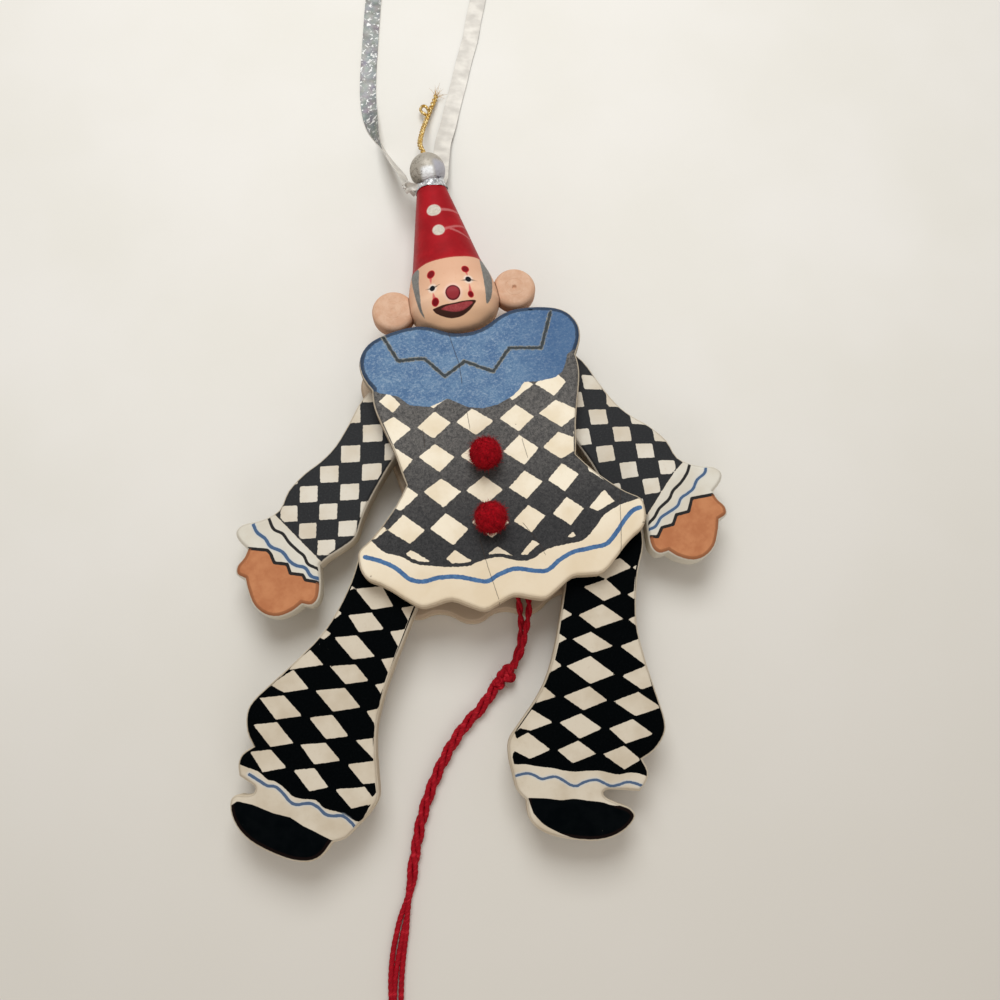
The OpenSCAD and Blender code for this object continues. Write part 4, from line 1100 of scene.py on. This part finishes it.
left_lozenges = rows(8, """-35.8 -0.4 -29.6 -0.9 -27.8 -6.1 -32.8 -5.9
    -38.4 -6.1 -33 -6.6 -30.8 -10.9 -36.6 -10.5  -42.4 -10.6 -37.2 -11.1 -33.9 -16.7 -39 -16.4
    -44.4 -16.9 -38.6 -17.6 -36.2 -21.9 -41.5 -21.6  -48.5 -21.7 -41.8 -22.4 -39 -27.4 -45.3 -27.1
    -50.8 -27.4 -45.5 -27.8 -42.7 -33.2 -47.8 -32.8  -53.7 -32.9 -48 -33.6 -45.4 -38.1 -51.2 -37.8
    -56 -38.1 -51.3 -38.6 -48.9 -43.3 -53.2 -43.3  -26.1 -6.8 -22.9 -6.9 -22.2 -11.3 -24.8 -10.5
    -29.6 -11.7 -23.8 -12 -24.8 -17.2 -28.1 -16  -32.6 -17.6 -27.3 -17.9 -28.1 -22.4 -31.3 -21.5
    -35 -23 -30.7 -23 -31.3 -26.6 -33.7 -25.8  -37.8 -28.5 -32.6 -28.5 -33 -33.5 -36.4 -31.8
    -41.3 -34.4 -34.2 -34.9 -34.6 -40.2 -37.9 -39.3  -44 -39.2 -35 -39.9 -34.9 -44.8 -41.2 -44.1
    -47.5 -44 -40.9 -44.8 -38.9 -48.6 -44.6 -48.8  -54.8 -15.3 -48.2 -12.4 -45.8 -16.3 -53.4 -15.9
    -58.4 -18.4 -52.7 -16.1 -49.9 -21 -55.5 -20.8  -61.2 -20.9 -55.7 -21.4 -52.3 -26.7 -58.2 -26.4
    -63.4 -26.5 -58.1 -27 -55.1 -32.3 -60.3 -32.1  -64.9 -32.3 -60.3 -32.7 -57.4 -37.3 -62.8 -37.2
    -39.6 0.6 -37.9 1.8 -35.8 -0.2 -38.8 -0.8  -43.4 -4.7 -41.3 -3.8 -39.7 -5.4 -41.7 -6.4
    -47 -8.9 -44.8 -7.8 -42.9 -9.6 -44.8 -10.6""")


def edge_reach(q, margin):
    """How much the lozenges grow beside the margin, so that no thin dark line is left between them."""
    return 1.2 * np.clip(1 + beside(q, margin) / 0.5, 0, 1)


def leg_paint(q, lozenges, margin, hem, wave, half, shoe):
    """A leg's distances: the lozenges' black lies between the hem and a narrow cream margin, and the wave's
    blue is two halves wide."""
    black = np.minimum(-four_cornered(q, lozenges) - edge_reach(q, margin), beside(q, smooth_line(hem, 0.4)))
    black = np.minimum(black, 0.1 - beside(q, margin))
    none = np.full(len(q), far_off)
    return {"black": black, "line": none, "blue": stripe(q, smooth_line(wave, 0.3), half),
            "hand": inside(q, shoe), "crease": none, "cuff": none}


def left_leg_paint(q):
    return leg_paint(q, left_lozenges, left_leg_right, left_leg_black, left_leg_blue, 0.34, left_shoe)


right_leg_black = rows(2, """-10 -45.8  -6.6 -46.6  -4.5 -47  -2.2 -47.9  1 -48.9  4.2 -50.2  6.6 -50.8
    9.1 -51.1  11.6 -51.6  13.5 -52.4  15.5 -53.2  18.1 -53.3  20.1 -53.9  22 -54.9  24.4 -55.8""")
right_leg_blue = rows(2, """-7.7 -49  -6.2 -48.9  -4.5 -49  -3 -49.8  -1.7 -50.8  -0.2 -50.8  1.5 -50.9
    3 -52  4.4 -53.3  5.8 -53.8  7.3 -53.4  9.1 -53.2  10.7 -53.5  12.2 -54.6  13.3 -55.3  15 -55.4
    17.2 -55.2  19.2 -56  20.5 -56.9""")
right_shoe = rows(2, """-5.5 -54.2  -1.5 -55.1  1.7 -56.1  4.6 -56.4  7.3 -57.3  10.5 -58.3  13.2 -59.6
    17.9 -60.6  16.9 -63.2  14.6 -65  10.9 -66.1  6.7 -66  3.6 -65  0.2 -63.1  -3.1 -60.5  -5 -57.7""")
right_leg_left = rows(2, """-7 -48  -7.2 -43.8  -5.5 -39.5  -0.8 -34.4  3.4 -29.3  6.7 -23.7  8.9 -18.5
    11 -12  13 -6""")

right_lozenges = rows(8, """16.8 -10.1 22.4 -9.3 25.3 -13.3 20.7 -14.2
    14.2 -16.3 20.2 -14.9 24.4 -19.2 17.5 -20.1  11.7 -21.5 16.3 -20.7 20.6 -24.9 15.5 -25.5
    9 -27.3 14.9 -26.1 19.6 -31.3 13.5 -32.3  6.9 -33.9 13.2 -32.8 16.7 -36.7 10.7 -37.8
    4.8 -39.4 10 -38.4 14.1 -42.6 8.6 -43.8  3.1 -45.3 8.2 -44.2 11.6 -47.8 5.9 -48.8
    26.5 -13.8 29.9 -12.8 30 -14.6 28.2 -15.4  25.4 -19.5 28.6 -18.8 28.8 -21.5 27.1 -21.5
    22.2 -25.2 28.7 -24.1 28.9 -30.6 27.1 -30.7  21.1 -31.9 27.4 -30.7 30.1 -35.1 24.9 -35.8
    18 -37.2 24 -36.2 28.4 -40.6 22.2 -41.4  15.6 -42.9 21.4 -41.9 25.3 -46.1 18.6 -46.9
    13 -48.2 18.2 -47.3 21.2 -51 17.1 -52.4  7.6 -15.1 10.6 -13.7 12.9 -15.9 9.7 -16.9
    6 -20.1 8.6 -19.3 10.4 -21.2 7.4 -22  2.7 -26.3 6.3 -24.9 8 -27 4.6 -28.1
    -2.9 -33.4 2.9 -30.7 5.2 -33.6 -0.2 -34.2  -6.4 -38 -0.9 -35.3 3.4 -39.1 -2 -39.9
    -8.6 -42 -2.7 -40.2 1.6 -44.9 -3.4 -46  18.8 -6.6 26.8 -5 28.9 -7.7 22.2 -9.2
    29.1 -7.7 31.2 -7.2 31.2 -9.1 29.9 -8.6""")


def right_leg_paint(q):
    shoe = smooth_line(right_shoe, 0.5)
    return leg_paint(q, right_lozenges, right_leg_left, right_leg_black, right_leg_blue, 0.3, shoe)


board("left_leg", "left_leg_board", limb_top, left_leg_paint, [painted_leg])
board("right_leg", "right_leg_board", limb_top, right_leg_paint, [painted_leg])

# Head and hat, turned in one piece, with the painted face

head_profile = rows(2, """0 57  2.6 57.1  5.5 57.8  7.7 59.2  9.7 61  11.2 63.8  11.3 65.5  11.15 68
    10.4 71.3  8.8 75.8""")
brim_line = rows(2, """-12 74.4  -9.2 74.1  -7.4 74  -5.2 74.2  -1.1 74  3.3 74  8.2 74.5  12 74""")
hair_left = rows(2, """-8.6 74.6  -7.3 73.5  -7.9 69.6  -8.2 66.2  -8.4 63.2  -8 61  -9 63.1  -9.4 66.6
    -9.5 70.8  -9.3 74.2""")
hair_right = rows(2, """8.1 75  9.4 74.4  10 71  10.1 69  9.9 67.2  9.3 64.4  8.5 62.6  7.4 61.6  7.5 63.2
    7.7 65.9  7.8 69.3  7.9 72""")
mouth_line = rows(2, """-5.9 61.8  -5.1 60.7  -3.4 59.7  -1.4 59.1  0.9 59.2  3 60.1  4.2 61.1  4.8 61.95
    2.4 61.95  0 61.8  -1.3 61.8  -3 61.9  -4.4 61.85  -5.9 61.8""")
lips_line = rows(2, """-3.9 61.2  -3.3 60.9  -2 60.4  -0.4 60.05  1.4 60.15  3.2 60.95  4 61.6  2.4 61.7
    0 61.5  -2.4 61.5  -3.9 61.2""")


def head_outline():
    """Radius and height of the turned head and hat, from the neck's end to the tip."""
    lower = smooth_line(head_profile, 0.26)
    lower[:, 0] = np.maximum(lower[:, 0], 0.02)
    cone = np.stack([np.linspace(8.8, 3.9, 84), np.linspace(75.8, 97.6, 84)], 1)[1:]
    tip = np.array([[3.88, 97.75], [3.8, 97.95], [3.6, 98.1], [3.3, 98.18], [2.0, 98.2], [0.05, 98.2]])
    return np.vstack([lower, cone, tip])


def head_piece():
    """The turned head, and the flat tongue that runs down from it between the boards."""
    p = turned(head_outline(), 260, "y", (0, 0, head_z))
    x, y = p[..., 0], p[..., 1]
    front = p[..., 2] > head_z
    q = np.stack([x.ravel(), y.ravel()], 1)
    hat = y - np.interp(np.where(front, x, np.sign(x) * 9.2), *np.array(brim_line).T)
    side = np.abs(x) / np.maximum(np.abs(x).max(1, keepdims=True), 0.1)
    values = {k: np.where(front, v.reshape(x.shape), far_off) for k, v in face_paint(q).items()}
    piece = Piece("turned_head")
    piece.skin(p, turn=True, hat=hat, side=side, **values)
    cross = np.array([[-1, -1], [1, -1], [1, 1], [-1, 1]], float)
    tongue = np.stack([np.column_stack([cross[:, 0] * 6 * f, np.full(4, yy), gap_z + cross[:, 1] * 3.6 * f])
                       for yy, f in ((44, 0.96), (44.4, 1), (58.4, 1), (58.8, 0.96))])
    tongue[..., 2] = np.clip(tongue[..., 2], 5.0, 12.2)
    none = {k: far_off for k in values}
    piece.skin(tongue, turn=True, hat=far_off, side=0.0, **none)
    return piece


def streak(q, line, start, end):
    """Distance inside a tail that narrows evenly from its first point to its last."""
    p = np.array(line, float)
    d = p[-1] - p[0]
    f = np.clip((q - p[0]) @ d / (d @ d), 0, 1)
    return start + (end - start) * f - nearest(q, p)[0]


def oval(q, x, y, wide, tall, tilt=0.0):
    """Distance inside an oval, close to its edge: (1 - size) times its smaller half."""
    u, v = q[:, 0] - x, q[:, 1] - y
    c, s = math.cos(tilt), math.sin(tilt)
    return (1 - np.hypot((c * u + s * v) / wide, (c * v - s * u) / tall)) * min(wide, tall)


def face_paint(q):
    """Distances inside the painted features, in mm."""
    hair = np.maximum(inside(q, smooth_line(hair_left, 0.4)), inside(q, smooth_line(hair_right, 0.4)))
    eye = np.maximum(oval(q, -5.0, 66.4, 0.66, 0.7), oval(q, 3.9, 67.0, 0.72, 0.74))
    lashes = ([[-6.7, 66.8], [-5.4, 66.5]], [[-2.9, 66.9], [-4.3, 66.5]], [[1.7, 66.7], [3.2, 66.8]],
              [[6.1, 66.6], [4.6, 66.8]])
    lash = np.max([streak(q, line, 0.04, 0.22) for line in lashes], axis=0)
    tear = np.maximum(oval(q, -4.9, 63.0, 0.92, 0.96), oval(q, 3.8, 63.2, 0.75, 0.77))
    tails = (([[-5.0, 63.4], [-5.1, 65.2]], 0.5), ([[3.85, 63.5], [3.9, 65.8]], 0.44),
             ([[-4.9, 69.8], [-5.1, 67.7]], 0.4), ([[3.75, 69.4], [3.85, 68.0]], 0.4))
    tail = np.max([streak(q, line, half, 0.1) for line, half in tails], axis=0)
    brow = np.maximum(oval(q, -4.7, 70.3, 1.0, 1.2, -0.3), oval(q, 3.7, 69.95, 0.95, 1.05, -0.2))
    mouth = inside(q, smooth_line(mouth_line, 0.3))
    lips = inside(q, smooth_line(lips_line, 0.3))
    dots = np.maximum(oval(q, -0.7, 89.2, 1.75, 1.7), oval(q, -0.6, 82.9, 1.5, 1.55))
    smears = (([[0.8, 89.1], [5.3, 88.9]], 0.42, 0.3), ([[0.8, 82.9], [6.5, 84.6]], 0.36, 0.24),
              ([[2.4, 83.0], [6.8, 80.9]], 0.32, 0.16))
    smear = np.max([streak(q, *one) for one in smears], axis=0)
    nose = oval(q, -0.4, 64.1, 1.82, 1.8)
    return {"hair": hair, "eye": eye, "lash": lash, "tear": tear, "tail": tail, "nose": nose,
            "mouth": mouth, "lips": lips, "brow": brow, "dot": dots, "smear": smear}


def head_finish():
    f = Finish("painted head")
    slight = f.math("MULTIPLY_ADD", f.noise(1.6, 3.0, 0.6), 0.2, -0.1)
    grit = f.noise(1.2, 5.0, 0.65)
    skin = f.mix(f.part(f.noise(0.16, 4.0)), (240, 200, 170), (233, 188, 156))
    skin = f.over(skin, (224, 168, 132), f.part(f.noise(1.0, 5.0, 0.65), 0.56, 0.8))
    # Painted shade: the skin darker towards the hat's brim
    skin = f.over(skin, (214, 166, 136), f.part(f.axis(1), 64.0, 71.0, (0.0, 0.75)))
    # Painted light: the skin lighter and warmer towards the chin, which turns from the lamp
    skin = f.over(skin, (255, 207, 166), f.part(f.axis(1), 65.0, 58.5, (0.0, 1.0)))
    colour = f.mix(f.times(f.part(f.value("nose"), -0.9, 0.0), 0.6), skin, (240, 206, 192))
    halo = f.times(f.part(f.value("eye"), -0.7, 0.0), 0.8)
    colour = f.over(colour, (238, 224, 212), halo)
    hair = f.mix(f.part(grit), (112, 112, 109), (138, 137, 133))
    colour = f.over(colour, hair, inked(f, "hair", slight, 1.2, 0.08))
    colour = f.over(colour, (206, 78, 84), inked(f, "tail", slight, 0.4, 0.12), 0.8)
    for name in ("brow", "tear"):
        colour = f.over(colour, (196, 44, 52), inked(f, name, slight, 0.4, 0.09))
        inner = f.plus(f.value(name), -0.12)
        colour = f.over(colour, (122, 18, 26), f.part(inner, -0.1, 0.22))
    colour = f.over(colour, (92, 80, 74), inked(f, "lash", slight, 0.3, 0.1), 0.85)
    colour = f.over(colour, (22, 24, 30), inked(f, "eye", slight, 0.3, 0.1))
    colour = f.over(colour, (98, 26, 34), inked(f, "nose", slight, 0.4, 0.08))
    nose_in = f.plus(f.value("nose"), -0.3)
    colour = f.over(colour, (150, 50, 56), f.part(nose_in, -0.1, 0.2))
    colour = f.over(colour, (66, 38, 30), inked(f, "mouth", slight, 0.4, 0.07))
    lips = f.mix(f.part(grit), (154, 58, 62), (184, 84, 86))
    colour = f.over(colour, lips, inked(f, "lips", slight, 0.4, 0.12))
    hat_on = inked(f, "hat", slight, 0.8)
    red = f.mix(f.part(f.noise(0.25, 4.0)), (168, 22, 32), (150, 18, 27))
    # Painted sheen: the red paler and pinker towards the hat's sides
    side = f.part(f.value("side"), 0.74, 0.98, (0.0, 0.5))
    red = f.over(red, (166, 84, 86), side)
    brim = f.part(f.value("hat"), 0.5, 0.0, (0.0, 0.35))
    colour = f.over(colour, f.mix(brim, red, (196, 92, 84)), hat_on)
    colour = f.over(colour, (206, 130, 128), inked(f, "smear", slight, 1.5, 0.25), 0.55)
    rim = f.times(f.part(f.value("dot"), -0.3, 0.0), 0.5)
    colour = f.over(colour, (206, 120, 118), rim)
    pale = f.mix(f.part(f.noise(1.3, 4.0, 0.7), 0.35, 0.7), (212, 204, 190), (190, 180, 166))
    colour = f.over(colour, pale, inked(f, "dot", slight, 0.6, 0.1))
    return f.set(colour=colour, rough=f.part(grit, to=(0.46, 0.6)), level=0.1,
                 normal=f.bump(grit, 0.03, strength=0.5))


painted_head = head_finish()
head_piece().finish("torso", ["head"], "painted_head", [painted_head])

# Ears: turned discs with a fine ring and a dimple, hollowed to fit the head's sides


def ear_finish():
    f = Finish("bare ear wood")
    grain = f.noise(0.5, 5.0, 0.62, stretch=(1.0, 1.0, 6.0))
    colour = f.mix(f.part(grain), (218, 180, 152), (206, 162, 132))
    colour = f.over(colour, (192, 144, 112), f.part(f.noise(0.9, 5.0, 0.7), 0.58, 0.8))
    colour = f.over(colour, (120, 80, 56), f.part(f.value("joint"), 0.35, 0.05, (0.0, 0.75)))
    # Painted shade: darker and warmer down the disc's rounded side, below its front
    colour = f.over(colour, (196, 138, 104), f.part(f.value("under"), 0.1, 1.6, (0.0, 0.5)))
    return f.set(colour=colour, rough=0.55, level=0.15, normal=f.bump(grain, 0.04, strength=0.5))


bare_ear = ear_finish()
ear_half = 2.5
ear_round = np.linspace(-math.pi / 2, math.pi / 2, 25)
ear_side = np.stack([3.9 + 1.4 * np.cos(ear_round), 1.1 * np.sign(ear_round) + 1.4 * np.sin(ear_round)], 1)


def ear_piece(name, side, dimple):
    """A turned disc; where it would run into the head, its skin lies on the head's turned surface."""
    h = ear_half
    middle = [[0.8, h], [0.55, 2.44], [0.3, 2.0 if dimple else 2.4], [0.02, 1.9 if dimple else 2.38]]
    groove = 0.07 if dimple else 0.04
    ring = [[2.5, h], [2.35, h], [2.2, h - groove], [2.05, h], [1.9, h]]
    profile = np.vstack([[[0.02, -h], [2, -h]], ear_side, ring, middle])
    x = side * (ear_x + (0.15 if dimple else 0))
    y = ear_y + (0.6 if dimple else 0)
    p = turned(smooth_line(profile, 0.1), 128, "z", (x, y, head_z))
    outline = head_outline()
    r = np.interp(p[..., 1], outline[:, 1], outline[:, 0]) + 0.05
    deep = p[..., 2] - head_z
    seat = np.sqrt(np.maximum(r * r - deep * deep, 0))
    p[..., 0] = side * np.maximum(side * p[..., 0], seat)
    joint = np.hypot(p[..., 0], deep) - r
    ear = Piece(name + "_disc")
    ear.skin(p, turn=True, joint=joint, under=head_z + ear_half - p[..., 2])
    ear.finish("torso", [name], "bare_ear", [bare_ear])


ear_piece("ear_left", -1, False)
ear_piece("ear_right", 1, True)

# Bead: a moulded ball with a bore under a mirror skin, its reflections and highlight painted


def bead_finish():
    f = Finish("mirror bead")
    dents = f.noise(0.9, 4.0, 0.6)
    low = f.part(f.axis(1), 103.4, 101.0)
    worn = f.part(f.noise(1.2, 5.0, 0.7), 0.5, 0.72)
    # Painted reflection: pale beige tones stand in for the mirror's view of the pale room
    colour = f.mix(worn, (174, 167, 155), (146, 137, 125))
    # Painted reflection: a bluish patch at the upper right
    cool = f.times(f.part(f.axis(0), 0.9, 2.2), f.part(f.axis(1), 105.0, 103.4))
    colour = f.over(colour, (190, 194, 216), cool, 0.5)
    # Painted highlight: a bright patch low in the middle
    bright = f.times(f.part(f.math("ABSOLUTE", f.plus(f.axis(0), 0.2)), 2.2, 1.0),
                     f.part(f.axis(1), 102.9, 101.7))
    colour = f.over(colour, (246, 247, 248), bright)
    line = f.math("ABSOLUTE", f.plus(f.noise(0.45, 3.0, 0.6, warp=1.0), -0.5))
    left = f.part(f.axis(0), 0.5, -2.5)
    dark = f.times(f.part(line, 0.03, 0.005), left)
    colour = f.over(colour, (84, 76, 66), dark, 0.7)
    relief = f.times(dents, f.math("MULTIPLY_ADD", low, 0.9, 0.25))
    return f.set(colour=colour, metal=0.2, level=0.3, rough=f.part(worn, 0.0, 1.0, (0.44, 0.56)),
                 normal=f.bump(relief, 0.5, strength=0.8))


mirror_bead = bead_finish()
mouth_angle = 0.19
bore_r = 0.8
bead_angle = np.linspace(-math.pi / 2 + mouth_angle, math.pi / 2 - mouth_angle, 80)
outer = np.stack([bead_r * np.cos(bead_angle), bead_r * np.sin(bead_angle)], 1)
bore = np.stack([np.full(24, bore_r), np.linspace(outer[-1, 1] - 0.03, -outer[-1, 1] + 0.03, 24)], 1)
bead = Piece("mirror_bead")
bead.skin(turned(np.vstack([outer, bore, outer[:1]]), 120, "y", (0, bead_y, head_z)), turn=True, ends=False)
bead.finish("torso", ["silver_bead"], "bead", [mirror_bead])

# Ribbon tie: crumpled turns between the hat and the bead and a knot of folds at the left

tie = Piece("ribbon_tie_folds")
tie_r = 4.12
tie_y = 97.3
foil_t = 0.12
a = np.linspace(0, 2 * math.pi, 181)[:-1, None]
v = np.linspace(0, 1, 9)[None]
creases = 0.13 * np.sin(11 * a + 5 * v) * np.sin(4 * a + 1) + 0.1 * np.abs(np.sin(7 * a - 3 * v))
creases = creases + 0.05 * np.sin(29 * a + 6 * v)
r_here = tie_r - 0.62 * v + creases
y_here = tie_y + 0.25 * np.sin(3 * a + 1) + v * (2.2 + 0.5 * np.sin(2 * a + 0.5) + 0.3 * np.sin(5 * a))
outer = np.stack([r_here * np.cos(a), y_here, head_z + r_here * np.sin(a)], 2)
inner = np.stack([(r_here - foil_t) * np.cos(a), y_here, head_z + (r_here - foil_t) * np.sin(a)], 2)
collar_skin = np.concatenate([outer, inner[:, ::-1]], 1)
tie.skin(np.concatenate([collar_skin, collar_skin[:1]]), turn=True, ends=False, slot=2)
fold_lines = [("-3.4 98.2 13.4  -4.7 99.2 13.2  -5.8 100 12.3  -6.3 100.7 10.8", 0.7, 0.4),
              ("-3.8 98.8 10.4  -5.2 100.3 11.2  -6.2 101 11.6  -6.7 101.2 11", 0.7, 1.4),
              ("-3.9 98 13  -4.8 98.6 12.8  -5.8 98.9 12  -6.6 98.8 11.2", 0.6, 2.4),
              ("-4.2 98.3 9.9  -5.5 99.2 11  -6.3 99.8 11.4  -6.9 99.9 11.6", 0.6, 0.9)]
for line, half, twist in fold_lines:
    p = smooth_line(rows(3, line), 0.2)
    band(tie, p, half, twist + np.linspace(0, 1.2, len(p)), cup=0.25, ripple=0.2, across_steps=6, thick=0.2)
lump = smooth_line([[-5.1, 99.3, 9.6], [-5.4, 100.3, 11.2], [-5.8, 101.0, 12.7]], 0.2)
bulge = 0.8 * np.sin(np.linspace(0.15, math.pi - 0.15, len(lump)))[:, None]
tie.skin(tube(lump, bulge * (1 + 0.16 * np.sin(5 * ring_angles(20) + 0.4))[None], 20, (0, 1, 0.2)))
tie.finish("torso", ["ribbon_tie"], "ribbon", [ribbon_back, ribbon_back, foil])

# Pompoms: felted cores covered with short fibres


def pompom_finish():
    f = Finish("felted wool")
    fine = f.noise(2.4, 5.0, 0.75)
    tuft = f.noise(0.7, 3.0, 0.6)
    colour = f.mix(f.part(fine), (138, 2, 16), (196, 8, 28))
    colour = f.over(colour, (112, 0, 12), f.part(tuft, to=(0.4, 0.0)))
    return f.set(colour=colour, rough=0.9, sheen=0.25, sheen_rough=0.5, sheen_tint=(230, 60, 70), level=0.15,
                 normal=f.bump(fine, 0.3))


wool = pompom_finish()
felt_mid = 3.4
hair_count = 3800
for name, x, y, seed in (("pompom_upper", -0.2, 23.9, 21), ("pompom_lower", -1.9, 8.6, 22)):
    rng = np.random.default_rng(seed)
    lat = np.linspace(-1.05, math.pi / 2 - 0.02, 44)
    core = turned(np.stack([3.62 * np.cos(lat), 3.5 * np.sin(lat)], 1), 72, "z", (0, 0, 0))
    lumps = np.sin(2.1 * core[..., :1] + 1) * np.sin(1.9 * core[..., 1:2] + seed)
    lumps = lumps * np.sin(2.3 * core[..., 2:] + 2)
    core = core * (1 + 0.035 * lumps)
    core[..., 2] = np.maximum(core[..., 2] + felt_mid, 0.02)
    ball = Piece(name + "_wool")
    ball.skin(core + [x, y, face_z], turn=True)
    up = rng.uniform(-0.8, 1, hair_count)
    round_a = rng.uniform(0, 2 * math.pi, hair_count)
    flat_r = np.sqrt(1 - up * up)
    out = np.stack([flat_r * np.cos(round_a), flat_r * np.sin(round_a), up], 1)
    root = out * [3.52, 3.52, 3.4] + [x, y, face_z + felt_mid]
    root[:, 2] = np.maximum(root[:, 2], face_z + 0.1)
    lean = 0.6 * out + rng.normal(0, 0.7, (hair_count, 3))
    size = rng.uniform(0.2, 0.55, (hair_count, 1))
    hair = fibres(root, lean, rng.normal(0, 0.6, (hair_count, 3)), size, 0.05)
    hair[..., 2] = np.maximum(hair[..., 2], face_z + 0.02)
    ball.rings(hair)
    ball.finish("torso", [name], "pompom", [wool])

# Pins and pegs keep their solids


def dowel_finish():
    f = Finish("plain dowel")
    grain = f.noise(1.0, 4.0, 0.6, stretch=(1.6, 1.6, 0.25))
    colour = f.mix(f.part(grain), (206, 172, 124), (176, 136, 90))
    return f.set(colour=colour, rough=0.62, normal=f.bump(grain, 0.06, strength=0.6))


dowel = dowel_finish()
for node in ("shoulder_pin_left", "shoulder_pin_right", "hip_pin_left", "hip_pin_right", "ear_pegs"):
    cad[node].data.materials.clear()
    cad[node].data.materials.append(dowel)


# Inner strings: each half has an end at its lever and a straight run to the string's middle


def inner_string_finish():
    f = Finish("inner red string")
    fibre = f.noise(3.0, 3.0, 0.6, stretch=(0.35, 2.5, 2.5))
    colour = f.mix(f.part(fibre), (118, 6, 22), (196, 24, 42))
    return f.set(colour=colour, rough=0.75, sheen=0.4, normal=f.bump(fibre, 0.12))


inner_string = inner_string_finish()
string_r = 0.6


def lever_route(pivot, side, swing, lever, angle):
    """Points of a string from behind its stop knot, through the hole of the limb's lever, to just past it:
    the hole is a lever's length from the pivot, and the string runs square to the lever."""
    a = math.radians(angle - swing)
    d = np.array([-5.0, -4.4, -3.4, -3.15, 0.0, 3.8])
    x = pivot[0] - side * (lever * math.cos(a) + d * math.sin(a))
    y = pivot[1] + lever * math.sin(a) - d * math.cos(a)
    return np.stack([x, y, np.full(len(d), gap_z)], 1)


def inner_string_half(node, side_name, middle, route):
    """One half of an inner string: a tube along the route at the lever and the first 0.3 of the way to the
    string's middle, and a tube along the rest of the way."""
    halfway = route[-1] + 0.3 * (middle - route[-1])
    limb = side_name + ("_arm" if node == "arm_string" else "_leg")
    end = Piece(node + "_" + side_name + "_end")
    run_in = route[-1] + np.linspace(0, 1, 9)[1:, None] * (halfway - route[-1])
    radii = string_r * np.array([0.5, 2.1, 2.1, 1, 1, 1] + [1] * len(run_in))
    end.skin(tube(np.vstack([route, run_in]), radii, 12))
    end.finish((limb, "torso"), [], "red_cord", [inner_string], bend=(route[-1] * MM, halfway * MM))
    run = Piece(node + "_" + side_name)
    line = halfway + np.linspace(0, 1, 40)[:, None] * (middle - halfway)
    run.skin(tube(line, np.full(40, string_r), 12))
    run.finish(("torso", "pull"), [node], "red_cord", [inner_string], bend=(halfway * MM, middle * MM))


# Each string has its middle, its levers' length and angle, and for each side a pivot and the limb's turn
arm_halves = (("left", (-20.8, 40.6), -1, 40), ("right", (21.7, 42.0), 1, 26))
leg_halves = (("left", (-22.5, 2.8), -1, 30), ("right", (22.5, 2.8), 1, -21.7))
for node, x, y, lever, angle, halves in (("arm_string", 1.0, 34.6, 9.2, 80, arm_halves),
                                         ("leg_string", 3.4, -2.6, 8.6, 45, leg_halves)):
    middle = np.array([x, y, gap_z])
    for side_name, pivot, side, swing in halves:
        inner_string_half(node, side_name, middle, lever_route(pivot, side, swing, lever, angle))
